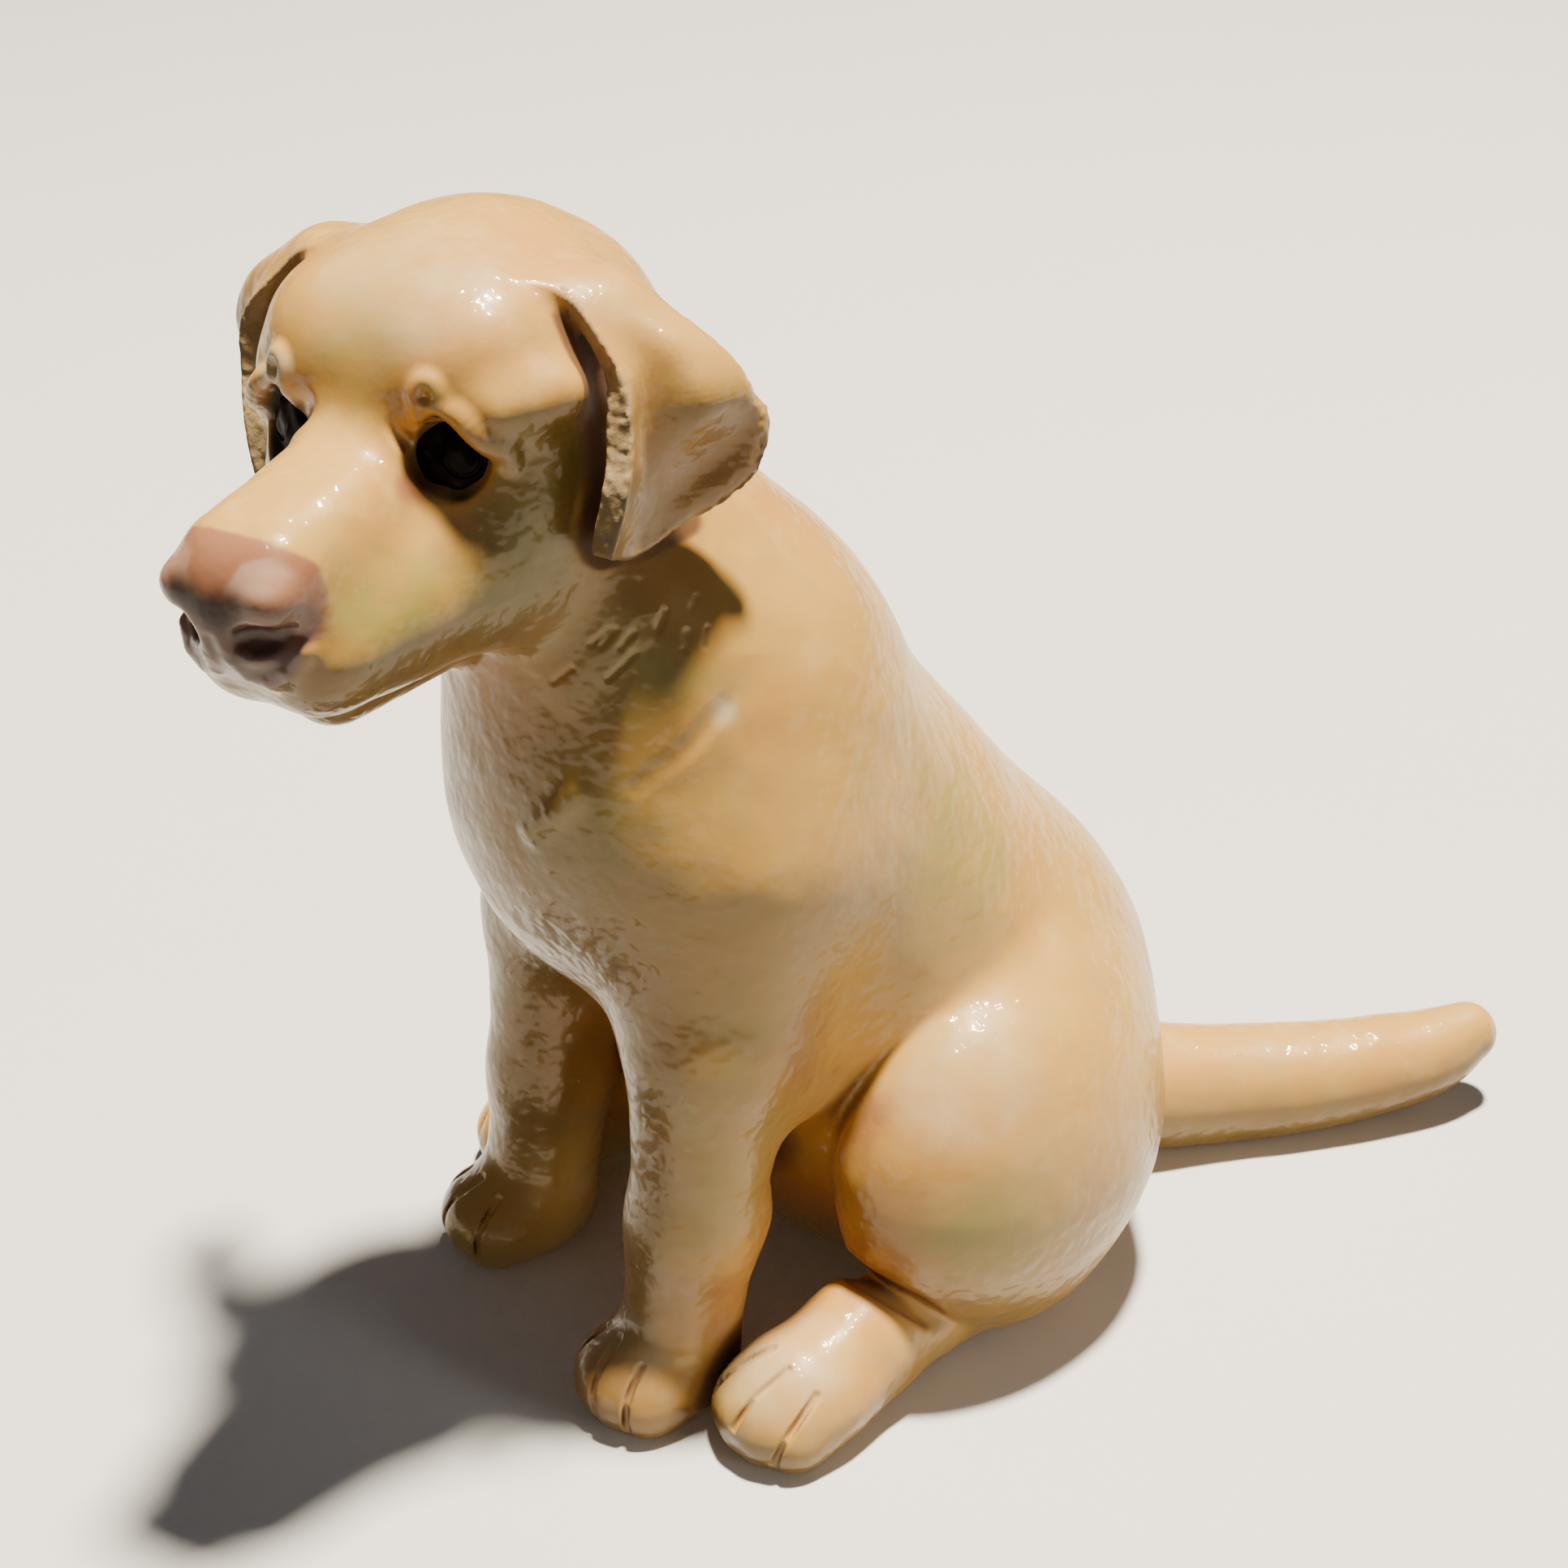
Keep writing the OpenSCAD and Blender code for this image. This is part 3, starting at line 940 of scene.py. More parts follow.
def rims(e):
    """Open rims of a patch as ordered loops, running against the patch's own sides."""
    n = int(e.max()) + 1
    there = e[:, 0] * n + e[:, 1]
    back = e[:, 1] * n + e[:, 0]
    u, inv, count = np.unique(np.concatenate([there, back]), return_inverse=True, return_counts=True)
    score = np.bincount(inv[: len(e)], minlength=len(u)) - np.bincount(inv[len(e) :], minlength=len(u))
    after = {}
    for k in np.flatnonzero(score > 0):
        for _ in range(int(score[k])):
            after.setdefault(int(u[k] % n), []).append(int(u[k] // n))
    loops = []
    while after:
        start = next(iter(after))
        loop = [start]
        cur = start
        while True:
            nxt = after[cur].pop()
            if not after[cur]:
                del after[cur]
            if nxt == start:
                break
            loop.append(nxt)
            cur = nxt
        loops.append(loop)
    return loops


skin_v, skin_q, skin_lab = build_skin()
print("skin", len(skin_v), "points", len(skin_q), "quads")

REFINED = ({
    "head", "lower_jaw", "nose_pad", "left_brow", "right_brow", "left_ear", "right_ear",
    "left_foreleg", "right_foreleg", "left_hind_foot", "right_hind_foot",
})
SLAB_AT = np.array([0.0, 20.5])
SLAB_R = 12.0


def patch(name):
    """Points, quads and other polygons of one piece of skin."""
    sel = skin_q[skin_lab == LABELS.index(name)]
    if name == "torso":
        c = skin_v[sel].mean(1)
        hole = (c[:, 2] < 0.4) & (np.hypot(c[:, 0] - SLAB_AT[0], c[:, 1] - SLAB_AT[1]) < SLAB_R + 0.1)
        sel = sel[~hole]
    used, inv = np.unique(sel, return_inverse=True)
    v = skin_v[used].astype(float)
    q = inv.reshape(-1, 4)
    if name == "torso":
        for loop in rims(sides(q)):
            p = v[loop]
            if p[:, 2].max() < 0.5:
                d = p[:, :2] - SLAB_AT
                d *= (SLAB_R + 0.15) / np.maximum(np.hypot(d[:, 0], d[:, 1]), 1e-6)[:, None]
                v[loop, :2] = SLAB_AT + d
                v[loop, 2] = 0.0
    pick = np.full(len(q), name in REFINED)
    if name == "torso":
        c = v[q].mean(1)
        pick = (c[:, 1] < 4) & (c[:, 2] > 72) | (c[:, 1] < -16) & (c[:, 2] > 48)
    if pick.any():
        return refine(v, q, pick)
    return v, q, []


# Paint on the nose: outlines across and down over the tip, and for the rim seen from ahead. Painted highlights go on
# the nostril wings and on the rim, painted shade in and between the nostrils; the wings also have pinkish-white glaze.
NOSE_RED = [(-2.5, -3.8), (-2.5, -2.4), (-2.0, -1.4), (-1.2, 0.1), (1.6, 0.5), (3.6, 0.4), (5.7, -0.1), (4.6, -1.0), (2.8, -2.2), (2.1, -3.9), (1.3, -4.8), (-0.4, -5.1)]
NOSE_WING_PALE_AND_HIGHLIGHT = [(2.0, -4.8), (2.1, -3.9), (2.5, -2.4), (3.8, -1.4), (5.2, -0.9), (6.8, -1.6), (7.3, -3.0), (6.8, -4.4), (5.0, -4.9), (3.6, -5.2)]
NOSE_BLUSH = [(5.2, -3.0), (6.0, -1.9), (7.2, -1.8), (7.6, -3.6), (7.6, -5.2), (5.4, -5.6), (5.9, -4.6), (6.2, -3.6)]
NOSE_SHADE = [(-4.4, -4.6), (-1.7, -4.8), (-0.2, -5.3), (1.3, -5.1), (3.1, -5.2), (4.4, -5.9), (3.4, -7.0), (1.8, -7.9), (0.2, -7.9), (-1.8, -7.2), (-4.4, -6.4)]
NOSE_ALL = [(-1, -1), (8, -1), (8, -10.4), (7.1, -11.3), (6.5, -12.7), (5.6, -14.0), (3.8, -15.1), (1.8, -16.1), (0, -16.6), (-1, -16.6)]
NOSE_RIM_HIGHLIGHT = [(1.8, -11.6), (1.2, -13.5), (1.6, -15.4), (3.7, -14.8), (5.6, -13.8), (6.9, -12.2), (7.3, -10.6), (5.8, -11.2), (3.1, -12.2)]


def masks(P, N):
    """Tints: olive pools, pink edges, paler runs of glaze and painted highlights, dark glaze, nose pink, painted shade
    on the nose, rough clay, and the hollows that carry painted shade.
    """
    P = np.asarray(P, F)
    Q = (P - HEAD_AT) @ HEAD_TURN
    A = fold(Q)
    wob = 1.1 * noise(P / F(3.0), 21) + 0.5 * noise(P / F(1.2), 22)

    def spot(X, c, r, k=1.0):
        """1 inside an ellipsoid, fading over its rim."""
        d = length((X - V(*c)) / V(*r))
        return ease(d + 0.16 * wob, 1.25, 0.45) * k

    def top(*a):
        return np.clip(np.max(np.stack(a), 0), 0, 1)

    # How enclosed each point is; it darkens the colour in creases and recesses as painted shade, and also sets
    # roughness and coat.
    hollow_shade = np.zeros(len(P), F)
    for reach, w in ((0.7, 0.25), (1.6, 0.3), (3.5, 0.3), (7.0, 0.15)):
        hollow_shade += w * np.clip(1 - chunked(field, P + N * F(reach)) / F(reach), 0, 1)
    # More painted shade on the cheek in front of each ear slot.
    for s in (1, -1):
        m = (Q[:, 0] * s > 8) & (length(Q) < 42)
        if m.any():
            hollow_shade[m] += F(0.35) * ease(hollow_shade[m], 0.25, 0.5) * ease(ear(Q[m], s), 2.8, 1.6) * ease(Q[m][:, 2], 12.5, 10.5)
    # Painted shade inside each tool stroke.
    for a, c, r in STROKES:
        m = length(P - (a + c) * F(0.5)) < 3.0
        if m.any():
            hollow_shade[m] = np.maximum(hollow_shade[m], F(0.75) * ease(capsule(P[m], a, c, r), 0.16, -0.08))
    olive = top(
        spot(A, (10.5, -24, -9), (5, 7.5, 6), 0.9),
        spot(A, (14, -12, -9), (6, 7, 7), 0.75),
        spot(A, (16, -8, -1), (5, 5, 6), 0.6),
        spot(Q, (1, -15, 8), (6, 5, 5), 0.5),
        spot(A, (9.2, -15.6, 6.9), (1.4, 1.6, 1.5), 0.9),
        spot(P, (20, 13, 54), (7, 10, 12), 0.7),
        spot(P, (33, 8, 21), (6, 8, 7), 0.8),
        spot(P, (23, -15, 34), (5, 7, 16), 0.3),
        spot(P, (17, -20, 82), (7, 7, 7), 0.6),
        spot(P, (14, -25, 68), (8, 7, 10), 0.45),
        spot(P, (-22, 10, 50), (7, 10, 12), 0.6),
        spot(P, (-33, 10, 22), (6, 9, 8), 0.7),
        spot(P, (0, 40, 40), (12, 8, 12), 0.4),
    )
    pink = top(
        spot(P, (25.5, -2, 33), (4, 4, 6), 0.9),
        spot(P, (24, -7, 42), (4, 4, 7), 0.6),
        spot(P, (22, -19, 14), (5, 5, 5), 0.7),
        spot(P, (30, -3, 16), (5, 4, 6), 0.7),
        spot(P, (-25.5, -2, 33), (4, 4, 6), 0.8),
        spot(P, (18, -14, 74), (4, 5, 5), 0.5),
        spot(A, (12, -14, -6.5), (4, 4, 3), 0.55),
        spot(A, (7, -15.7, -1.8), (2.0, 2.6, 2.2), 1.0),
        # In creases the pink deepens with the recesses: painted shade.
        ease(hollow_shade, 0.42, 0.75) * 0.75,
    )
    # Paler glaze at the shoulder fold and on the right brow; the spots on the paw tops, the thigh and the forehead are
    # painted highlights.
    pale_and_highlight = top(
        spot(P, (28.8, -14, 9), (7, 7, 5), 0.45),
        spot(P, (16.6, -23.5, 8), (6.5, 6.5, 5), 0.35),
        spot(P, (31, 6, 37), (8, 10, 8), 0.3),
        spot(Q, (3, -9, 13), (11, 9, 7), 0.25),
        spot(P, (20.2, -11.8, 77.4), (1.6, 1.6, 2.0), 0.5),
        spot(Q, (-9.4, -14.6, 6.4), (3, 2.4, 1.6), 0.7),
    )
    dark = ease(sockets(A) + 0.05 * wob, 0.28, 0.0) * (A[:, 2] > -6) * (A[:, 1] > -20)
    front = ease(Q[:, 1], -28.6, -29.4)
    over = np.stack([Q[:, 0], F(0.707) * (Q[:, 1] + Q[:, 2]) + F(24)], 1)
    other = over * V(-1, 1)
    down = np.stack([A[:, 0], Q[:, 2]], 1)

    def inside(at, outline, soft, wobble=0.15):
        return ease(polygon(at, outline) + wobble * wob, soft, -soft) * front

    red = inside(over, NOSE_RED, 0.25)
    # Nostril wings: pinkish-white glaze with a painted highlight on it.
    wing_pale_and_highlight = np.maximum(inside(over, NOSE_WING_PALE_AND_HIGHLIGHT, 0.7, 0.3), 0.7 * inside(other, NOSE_WING_PALE_AND_HIGHLIGHT, 0.7, 0.3))
    blush = np.maximum(inside(over, NOSE_BLUSH, 0.5), inside(other, NOSE_BLUSH, 0.5))
    # The rim under the nostrils is made lighter as a painted highlight.
    rim = inside(down, NOSE_RIM_HIGHLIGHT, 0.6)
    pad = inside(down, NOSE_ALL, 0.4) * ease(over[:, 1] + 0.15 * wob, 0.6, 0.1)
    pale_and_highlight = np.maximum(pale_and_highlight * (1 - pad), pad * top(0.6 * wing_pale_and_highlight * (1 - red) * (1 - 0.6 * blush), 0.9 * rim))
    # Painted shade in the nostrils, on the band between them and under the tip.
    nose_shade = top(inside(over, NOSE_SHADE, 1.4, 0.5) * 0.95, ease(nostrils(A), 0.35, 0.0), spot(Q, (0.4, -34.6, -12.0), (2.0, 2.6, 3.6), 0.6) * front)
    rough = np.zeros(len(P), F)
    for s in (1, -1):
        m = (Q[:, 0] * s > 8) & (length(Q) < 42)
        if m.any():
            rough[m] = np.maximum(rough[m], ease(ear(Q[m], s, True), -0.55, -0.1) * (np.abs(ear(Q[m], s)) < 0.5))
    return np.stack([olive, pink, pale_and_highlight, dark, pad, nose_shade, rough, hollow_shade], 1).astype(F)


# ------------------------------------------------------------------ materials
def material(name):
    m = bpy.data.materials.new(name)
    m.use_nodes = True
    t = m.node_tree
    for n in list(t.nodes):
        t.nodes.remove(n)
    out = t.nodes.new("ShaderNodeOutputMaterial")
    bsdf = t.nodes.new("ShaderNodeBsdfPrincipled")
    t.links.new(bsdf.outputs[0], out.inputs[0])
    return m, t, bsdf


def node(t, kind, **props):
    n = t.nodes.new(kind)
    for k, v in props.items():
        setattr(n, k, v)
    return n


def clouds(t, coord, scale, detail=4.0, rough=0.55, distortion=0.0):
    n = node(t, "ShaderNodeTexNoise")
    n.inputs["Scale"].default_value = scale
    n.inputs["Detail"].default_value = detail
    n.inputs["Roughness"].default_value = rough
    n.inputs["Distortion"].default_value = distortion
    t.links.new(coord, n.inputs["Vector"])
    return n.outputs["Fac"]


def span(t, value, a, b, c=0.0, d=1.0):
    n = node(t, "ShaderNodeMapRange", interpolation_type="SMOOTHSTEP")
    t.links.new(value, n.inputs["Value"])
    for key, x in (("From Min", a), ("From Max", b), ("To Min", c), ("To Max", d)):
        n.inputs[key].default_value = x
    return n.outputs["Result"]


def times(t, a, b, op="MULTIPLY"):
    n = node(t, "ShaderNodeMath", operation=op)
    n.use_clamp = True
    for i, x in enumerate((a, b)):
        if isinstance(x, (int, float)):
            n.inputs[i].default_value = x
        else:
            t.links.new(x, n.inputs[i])
    return n.outputs[0]


def tint(t, base, colour, fac, mode="MIX"):
    n = node(t, "ShaderNodeMix", data_type="RGBA", blend_type=mode)
    if isinstance(fac, (int, float)):
        n.inputs[0].default_value = fac
    else:
        t.links.new(fac, n.inputs[0])
    for sock, x in ((n.inputs[6], base), (n.inputs[7], colour)):
        if isinstance(x, tuple):
            sock.default_value = (*x, 1.0)
        else:
            t.links.new(x, sock)
    return n.outputs[2]


def channels(t, name):
    a = node(t, "ShaderNodeAttribute", attribute_name=name)
    s = node(t, "ShaderNodeSeparateColor")
    t.links.new(a.outputs["Color"], s.inputs[0])
    return s.outputs[0], s.outputs[1], s.outputs[2], a.outputs["Alpha"]


def glaze(name, base=(0.72, 0.41, 0.097), warm=(0.72, 0.37, 0.086)):
    m, t, b = material(name)
    co = node(t, "ShaderNodeTexCoord").outputs["Object"]
    olive, pink, pale_and_highlight, dark = channels(t, "tint_a")
    pad, nose_shade, rough, hollow_shade = channels(t, "tint_b")
    big = clouds(t, co, 55, 3)
    mid = clouds(t, co, 210, 5, 0.6)
    fine = clouds(t, co, 900, 4, 0.6)
    c = tint(t, base, warm, span(t, big, 0.42, 0.62))
    c = tint(t, c, (0.77, 0.50, 0.165), span(t, mid, 0.53, 0.70, 0, 0.5))
    c = tint(t, c, (0.57, 0.40, 0.125), span(t, clouds(t, co, 95, 4, 0.6), 0.50, 0.68, 0, 0.4))
    c = tint(t, c, (0.40, 0.33, 0.075), times(t, olive, span(t, mid, 0.28, 0.62, 0.55, 1.0)))
    c = tint(t, c, (0.40, 0.165, 0.065), times(t, pink, span(t, mid, 0.3, 0.65, 0.45, 1.0)))
    # Paler glaze runs, and painted highlights on paws, thigh and forehead.
    c = tint(t, c, (0.74, 0.66, 0.47), times(t, pale_and_highlight, span(t, mid, 0.35, 0.6, 0.5, 1.0)))
    # Painted shade: darker in creases and recesses.
    c = tint(t, c, (0.12, 0.06, 0.028), span(t, hollow_shade, 0.48, 0.85, 0, 0.82))
    c = tint(t, c, (0.38, 0.155, 0.09), times(t, pad, 0.92))
    # Nose: pinkish-white glaze on the nostril wings with a painted highlight, and a painted highlight on the rim.
    c = tint(t, c, (0.64, 0.42, 0.32), times(t, times(t, pad, pale_and_highlight), 0.9))
    # Painted shade in and between the nostrils.
    c = tint(t, c, (0.018, 0.011, 0.009), times(t, nose_shade, span(t, mid, 0.25, 0.6, 0.75, 1.0)))
    c = tint(t, c, (0.005, 0.003, 0.002), dark)
    c = tint(t, c, (0.40, 0.30, 0.17), times(t, rough, span(t, fine, 0.3, 0.7, 0.65, 1.0)))
    c = tint(t, c, (0.30, 0.22, 0.12), span(t, fine, 0.70, 0.78, 0, 0.35))
    t.links.new(c, b.inputs["Base Color"])
    r = times(t, span(t, mid, 0.3, 0.7, 0.32, 0.46), times(t, rough, 0.4), "ADD")
    r = times(t, r, span(t, hollow_shade, 0.4, 0.8, 0, 0.3), "ADD")
    r = times(t, r, times(t, dark, 0.3), "ADD")
    t.links.new(r, b.inputs["Roughness"])
    b.inputs["IOR"].default_value = 1.5
    b.inputs["Specular IOR Level"].default_value = 0.32
    wet = times(t, span(t, hollow_shade, 0.35, 0.7, 0.42, 0.02), span(t, times(t, nose_shade, rough, "ADD"), 0.2, 0.9, 1.0, 0.15))
    t.links.new(wet, b.inputs["Coat Weight"])
    b.inputs["Coat Roughness"].default_value = 0.115
    grain = clouds(t, co, 1900, 2, 0.5)
    waves = clouds(t, co, 380, 3, 0.5)
    b1 = node(t, "ShaderNodeBump")
    b1.inputs["Distance"].default_value = 0.0004
    b1.inputs["Strength"].default_value = 0.14
    t.links.new(waves, b1.inputs["Height"])
    peel = clouds(t, co, 650, 1, 0.4)
    b2 = node(t, "ShaderNodeBump")
    b2.inputs["Distance"].default_value = 0.0004
    b2.inputs["Strength"].default_value = 1.0
    t.links.new(peel, b2.inputs["Height"])
    t.links.new(b1.outputs[0], b2.inputs["Normal"])
    b3 = node(t, "ShaderNodeBump")
    b3.inputs["Distance"].default_value = 0.00025
    t.links.new(times(t, rough, 0.5, "MULTIPLY"), b3.inputs["Strength"])
    t.links.new(fine, b3.inputs["Height"])
    b5 = node(t, "ShaderNodeBump")
    b5.inputs["Distance"].default_value = 0.00012
    b5.inputs["Strength"].default_value = 0.22
    t.links.new(peel, b5.inputs["Height"])
    t.links.new(b1.outputs[0], b5.inputs["Normal"])
    t.links.new(b5.outputs[0], b3.inputs["Normal"])
    b4 = node(t, "ShaderNodeBump")
    b4.inputs["Distance"].default_value = 0.0001
    b4.inputs["Strength"].default_value = 0.25
    t.links.new(grain, b4.inputs["Height"])
    t.links.new(b2.outputs[0], b4.inputs["Normal"])
    t.links.new(b3.outputs[0], b.inputs["Normal"])
    t.links.new(b4.outputs[0], b.inputs["Coat Normal"])
    return m


def dark_glaze(name):
    m, t, b = material(name)
    co = node(t, "ShaderNodeTexCoord").outputs["Object"]
    c = tint(t, (0.004, 0.002, 0.002), (0.022, 0.009, 0.006), span(t, clouds(t, co, 420, 4), 0.45, 0.75))
    t.links.new(c, b.inputs["Base Color"])
    t.links.new(span(t, clouds(t, co, 800, 3), 0.3, 0.7, 0.42, 0.58), b.inputs["Roughness"])
    b.inputs["Specular IOR Level"].default_value = 0.03
    b.inputs["Coat Weight"].default_value = 0.03
    b.inputs["Coat Roughness"].default_value = 0.06
    bump = node(t, "ShaderNodeBump")
    bump.inputs["Distance"].default_value = 0.0002
    bump.inputs["Strength"].default_value = 0.25
    t.links.new(clouds(t, co, 700, 2), bump.inputs["Height"])
    t.links.new(bump.outputs[0], b.inputs["Normal"])
    return m


def clay(name):
    m, t, b = material(name)
    co = node(t, "ShaderNodeTexCoord").outputs["Object"]
    c = tint(t, (0.50, 0.36, 0.24), (0.62, 0.47, 0.33), span(t, clouds(t, co, 160, 5), 0.35, 0.65))
    c = tint(t, c, (0.22, 0.15, 0.10), span(t, clouds(t, co, 1400, 3), 0.68, 0.76, 0, 0.6))
    t.links.new(c, b.inputs["Base Color"])
    t.links.new(span(t, clouds(t, co, 300, 3), 0.3, 0.7, 0.75, 0.92), b.inputs["Roughness"])
    bump = node(t, "ShaderNodeBump")
    bump.inputs["Distance"].default_value = 0.0003
    bump.inputs["Strength"].default_value = 0.5
    t.links.new(clouds(t, co, 1200, 4), bump.inputs["Height"])
    t.links.new(bump.outputs[0], b.inputs["Normal"])
    return m


MATERIALS = {
    "body_glaze": glaze("body_glaze"),
    "ear_glaze": glaze("ear_glaze", (0.70, 0.40, 0.105), (0.71, 0.37, 0.096)),
    "nose_glaze": glaze("nose_glaze", (0.70, 0.405, 0.115), (0.70, 0.37, 0.10)),
    "eye_glaze": dark_glaze("eye_glaze"),
    "bare_clay": clay("bare_clay"),
}


# --------------------------------------------------------------------- pieces
def publish(name, slot, v, faces, corner_normals=None, attributes=None):
    """Millimetre points and faces become a piece in the row frame."""
    co = (np.asarray(v, float) + np.array([0, BACK, 0])) * MM
    sizes = np.array([len(f) for f in faces])
    loops = np.concatenate([np.asarray(f) for f in faces]).astype(np.int32)
    me = bpy.data.meshes.new(name)
    me.vertices.add(len(co))
    me.vertices.foreach_set("co", co.astype(F).ravel())
    me.loops.add(len(loops))
    me.loops.foreach_set("vertex_index", loops)
    me.polygons.add(len(sizes))
    me.polygons.foreach_set("loop_start", np.concatenate([[0], np.cumsum(sizes)[:-1]]).astype(np.int32))
    me.polygons.foreach_set("use_smooth", np.ones(len(sizes), bool))
    me.update(calc_edges=True)
    if attributes:
        for key, value in attributes.items():
            a = me.attributes.new(key, "FLOAT_COLOR", "POINT")
            a.data.foreach_set("color", value.astype(F).ravel())
    if corner_normals is not None:
        me.normals_split_custom_set(corner_normals.astype(F).tolist())
    ob = bpy.data.objects.new(name, me)
    bpy.context.scene.collection.objects.link(ob)
    me.materials.append(MATERIALS[slot])
    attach(ob, "root")
    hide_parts(name)
    return ob


def skin_piece(name, slot):
    v, q, polys = patch(name)
    n = gradient(field, v)
    n /= np.maximum(length(n), 1e-6)[:, None]
    m = masks(v, n)
    pts = [v]
    count = len(v)
    corners = [n[q].reshape(-1, 3)] + [n[list(f)] for f in polys]
    inner = []
    for loop in rims(sides(q, polys)):
        p = v[loop]
        ring = loop
        if name == "torso" and p[:, 2].max() < 0.5:
            up = p.copy()
            up[:, 2] = 5.1
            ids = np.arange(count, count + len(loop))
            pts.append(up)
            count += len(loop)
            inner += [(loop[i], loop[(i + 1) % len(loop)], int(ids[(i + 1) % len(loop)]), int(ids[i])) for i in range(len(loop))]
            ring = [int(i) for i in ids]
            centre = np.array([SLAB_AT[0], SLAB_AT[1], 5.1])
        else:
            centre = p.mean(0) - n[loop].mean(0) * 1.2
        pts.append(centre[None])
        inner += [(ring[i], ring[(i + 1) % len(ring)], count) for i in range(len(ring))]
        count += 1
    allv = np.concatenate(pts)
    flist = [tuple(f) for f in q] + polys + inner
    for f in inner:
        a, b, c = allv[f[0]], allv[f[1]], allv[f[2]]
        w = np.cross(b - a, c - a)
        w = w / max(np.linalg.norm(w), 1e-9)
        corners.append(np.repeat(w[None], len(f), 0))
    full = np.zeros((count, 8), F)
    full[: len(v)] = m
    publish(
        name,
        slot,
        allv,
        flist,
        np.concatenate(corners),
        {"tint_a": full[:, :4], "tint_b": full[:, 4:]},
    )


for part in LABELS:
    skin_piece(part, "ear_glaze" if "ear" in part and "foreleg" not in part else "nose_glaze" if part == "nose_pad" else "body_glaze")


def eye(name, s):
    """A flattened bead of dark glaze with a ring cut round the pupil."""
    rows, cols = 72, 120
    R = EYE_AXES.copy()
    at = EYE_AT.copy()
    pts = []
    for i in range(rows + 1):
        a = math.pi * i / rows
        for j in range(cols):
            b = 2 * math.pi * j / cols
            x, y, z = math.sin(a) * math.cos(b), math.sin(a) * math.sin(b), math.cos(a)
            p = np.array([3.9 * x, 4.1 * y, 1.7 * z])
            if z > 0:
                r = math.hypot(p[0] - 0.7, p[1] + 0.3)
                low = 0.5 - 0.5 * math.tanh((p[1] + 0.1 - 0.5 * p[0]) / 0.5)
                p[2] += low * (0.16 * math.exp(-(((r - 1.9) / 0.16) ** 2)) - 0.22 * math.exp(-(((r - 1.6) / 0.22) ** 2)))
                p[2] += 0.12 * math.sin(2.1 * p[0] + 1.3) * math.sin(1.7 * p[1] + 0.4)
            pts.append(p)
            if i in (0, rows):
                break
    pts = np.array(pts) @ R.T + (at - R[:, 2] * 1.5)
    pts[:, 0] *= s
    pts = pts @ HEAD_TURN.T.astype(float) + HEAD_AT.astype(float)
    faces = []

    def idx(i, j):
        return 0 if i == 0 else 1 + (rows - 1) * cols if i == rows else 1 + (i - 1) * cols + j % cols

    for i in range(rows):
        for j in range(cols):
            f = []
            for k in (idx(i, j), idx(i + 1, j), idx(i + 1, j + 1), idx(i, j + 1)):
                if k not in f:
                    f.append(k)
            faces.append(tuple(f) if s > 0 else tuple(reversed(f)))
    publish(name, "eye_glaze", pts, faces)


eye("left_eye", 1)
eye("right_eye", -1)


def slab():
    """The disc that closes the base: rounded edges and a small vent through the middle."""
    r0, r1, h = 1.7, SLAB_R - 0.02, 5.0
    prof = []
    for cx, cz, a0 in ((r1 - 0.5, 0.5, -90), (r1 - 0.5, h - 0.5, 0), (r0 + 0.4, h - 0.4, 90), (r0 + 0.4, 0.4, 180)):
        rad = 0.5 if cx > 6 else 0.4
        for k in range(5):
            a = math.radians(a0 + 22.5 * k)
            prof.append((cx + rad * math.cos(a), cz + rad * math.sin(a)))
    n = 96
    pts = []
    for j in range(n):
        b = 2 * math.pi * j / n
        for r, z in prof:
            pts.append((SLAB_AT[0] + r * math.cos(b), SLAB_AT[1] + r * math.sin(b), z))
    k = len(prof)
    faces = []
    for j in range(n):
        for i in range(k):
            faces.append((j * k + i, ((j + 1) % n) * k + i, ((j + 1) % n) * k + (i + 1) % k, j * k + (i + 1) % k))
    publish("base_slab", "bare_clay", np.array(pts), faces)


slab()


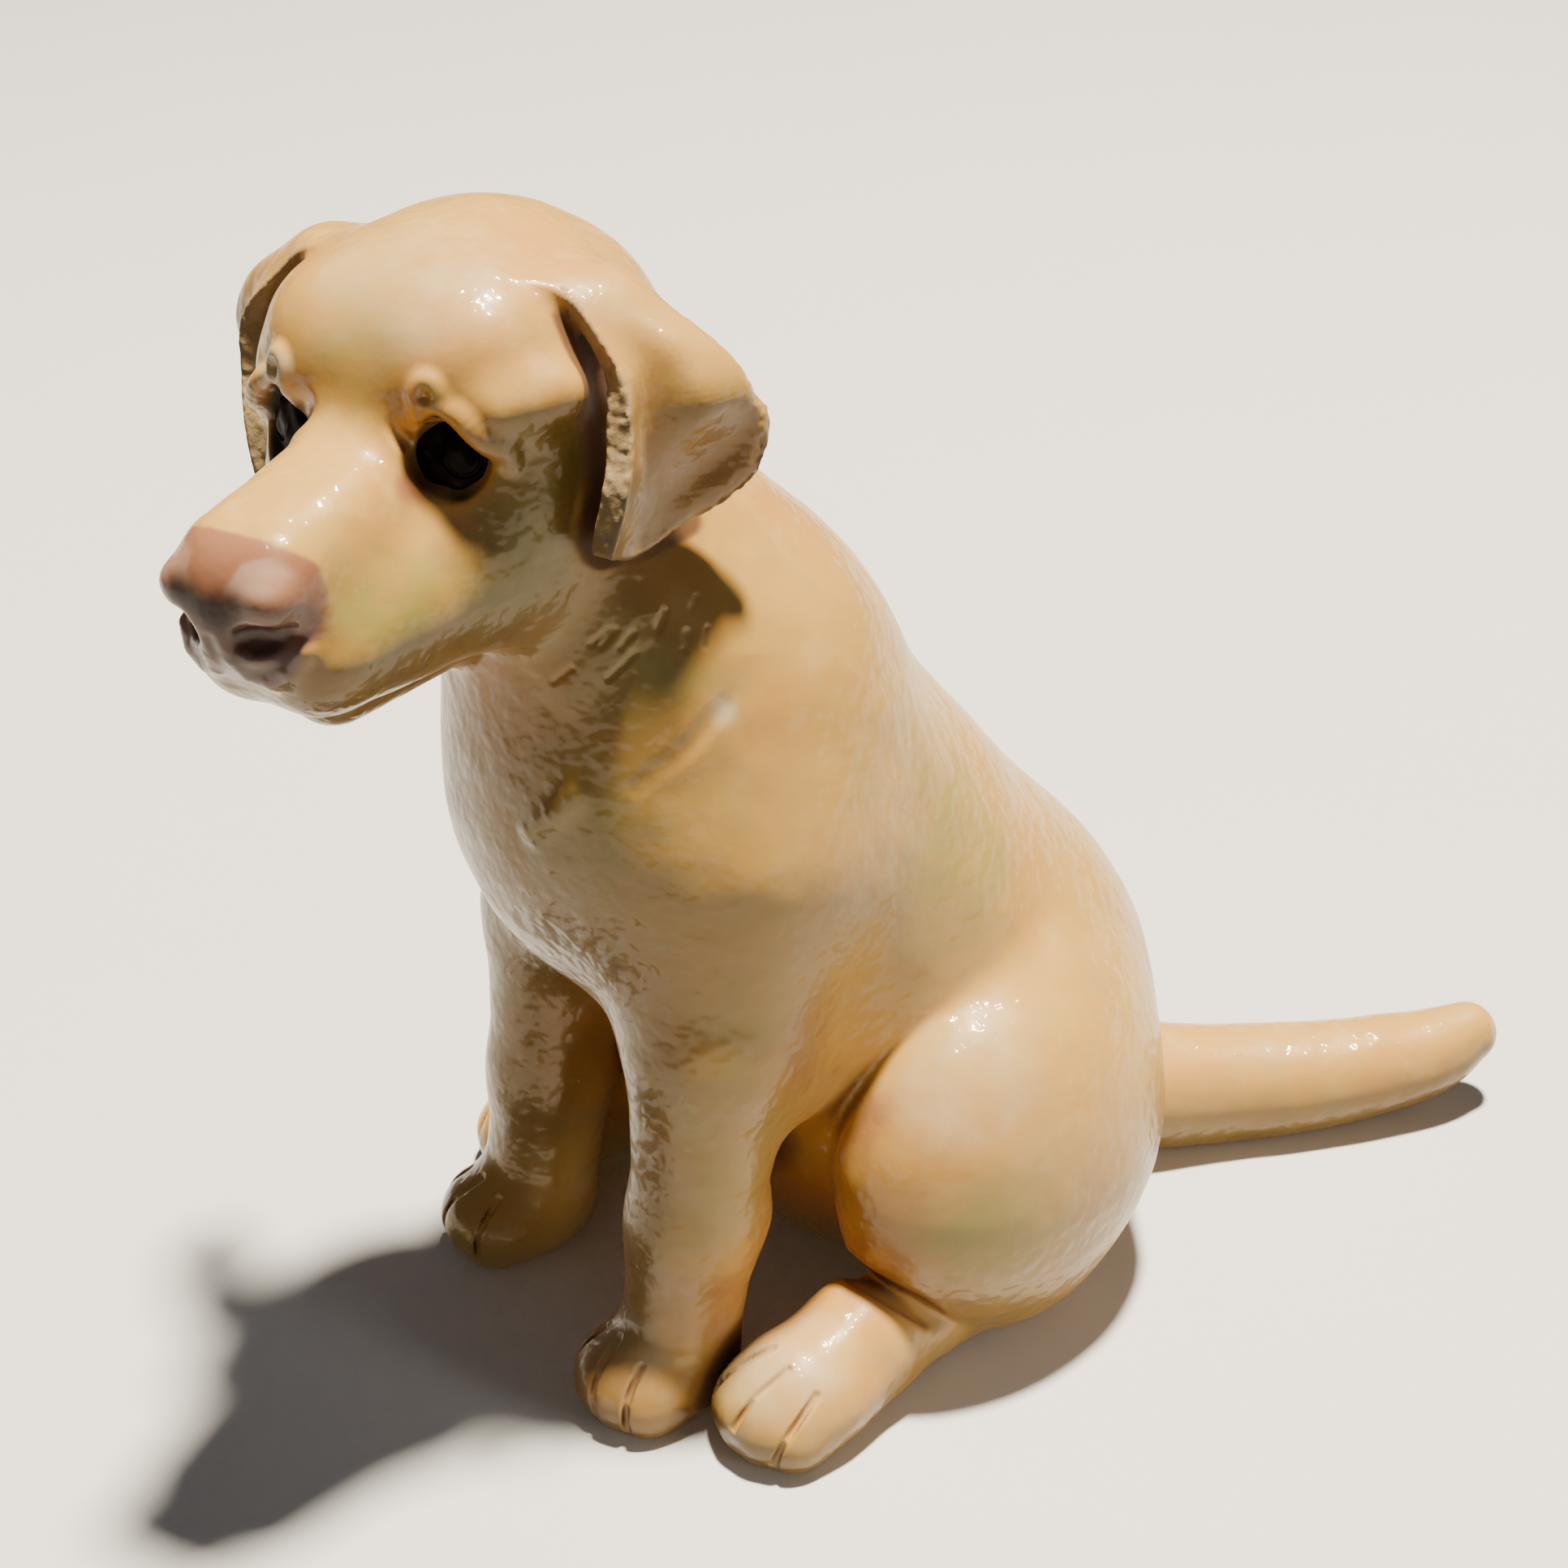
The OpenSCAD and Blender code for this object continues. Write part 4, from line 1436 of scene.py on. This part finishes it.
# ---------------------------------------------------------------------- stage
def floor():
    me = bpy.data.meshes.new("floor")
    s, n = 3.0, 8
    pts = [(-s + 2 * s * i / n, -s + 2 * s * j / n, 0) for i in range(n + 1) for j in range(n + 1)]
    faces = [
        (i * (n + 1) + j, (i + 1) * (n + 1) + j, (i + 1) * (n + 1) + j + 1, i * (n + 1) + j + 1)
        for i in range(n)
        for j in range(n)
    ]
    me.from_pydata(pts, [], faces)
    ob = bpy.data.objects.new("floor", me)
    bpy.context.scene.collection.objects.link(ob)
    m, t, b = material("floor_paint")
    co = node(t, "ShaderNodeTexCoord").outputs["Object"]
    c = tint(t, (0.88, 0.88, 0.89), (0.92, 0.92, 0.93), clouds(t, co, 14, 4))
    t.links.new(c, b.inputs["Base Color"])
    b.inputs["Roughness"].default_value = 0.7
    me.materials.append(m)
    ob.visible_diffuse = False


floor()


def area(name, at, to, size, power, colour):
    d = bpy.data.lights.new(name, "AREA")
    d.shape = "DISK"
    d.size = size
    d.energy = power
    d.color = colour
    o = bpy.data.objects.new(name, d)
    bpy.context.scene.collection.objects.link(o)
    o.location = Vector(at)
    o.rotation_euler = (Vector(to) - Vector(at)).to_track_quat("-Z", "Y").to_euler()
    return o


area("key", (0.03, 0.215, 1.53), (0, -0.015, 0.05), 0.15, 80.0, (1.0, 0.89, 0.70))
area("fill", (0.95, -0.60, 0.55), (0, -0.01, 0.05), 1.2, 0.45, (0.94, 0.97, 1.0))
low = area("low", (0.22, 0.085, 0.035), (0.01, -0.005, 0.002), 0.12, 0.017, (1.0, 0.97, 0.90))
low.data.spread = math.radians(32)
low.visible_camera = False
low.visible_glossy = False
world = bpy.data.worlds.new("room")
world.use_nodes = True
world.node_tree.nodes["Background"].inputs[0].default_value = (0.80, 0.82, 0.86, 1)
world.node_tree.nodes["Background"].inputs[1].default_value = 0.078
bpy.context.scene.world = world


def camera():
    az, el, roll = math.radians(61.6), math.radians(27.7), math.radians(-2.6)
    back = Vector((math.sin(az) * math.cos(el), -math.cos(az) * math.cos(el), math.sin(el)))
    right = Vector((math.cos(az), math.sin(az), 0))
    up = back.cross(right)
    r = right * math.cos(roll) + up * math.sin(roll)
    u = up * math.cos(roll) - right * math.sin(roll)
    at = (Vector((0.3, 4.8 + BACK, 56.2)) + back * 304.0) * MM
    d = bpy.data.cameras.new("camera")
    d.sensor_width = 36
    d.lens = 36 * 3674 / 1932
    d.clip_start = 0.01
    o = bpy.data.objects.new("camera", d)
    bpy.context.scene.collection.objects.link(o)
    o.matrix_world = Matrix(
        ((r.x, u.x, back.x, at.x), (r.y, u.y, back.y, at.y), (r.z, u.z, back.z, at.z), (0, 0, 0, 1))
    )
    bpy.context.scene.camera = o


camera()
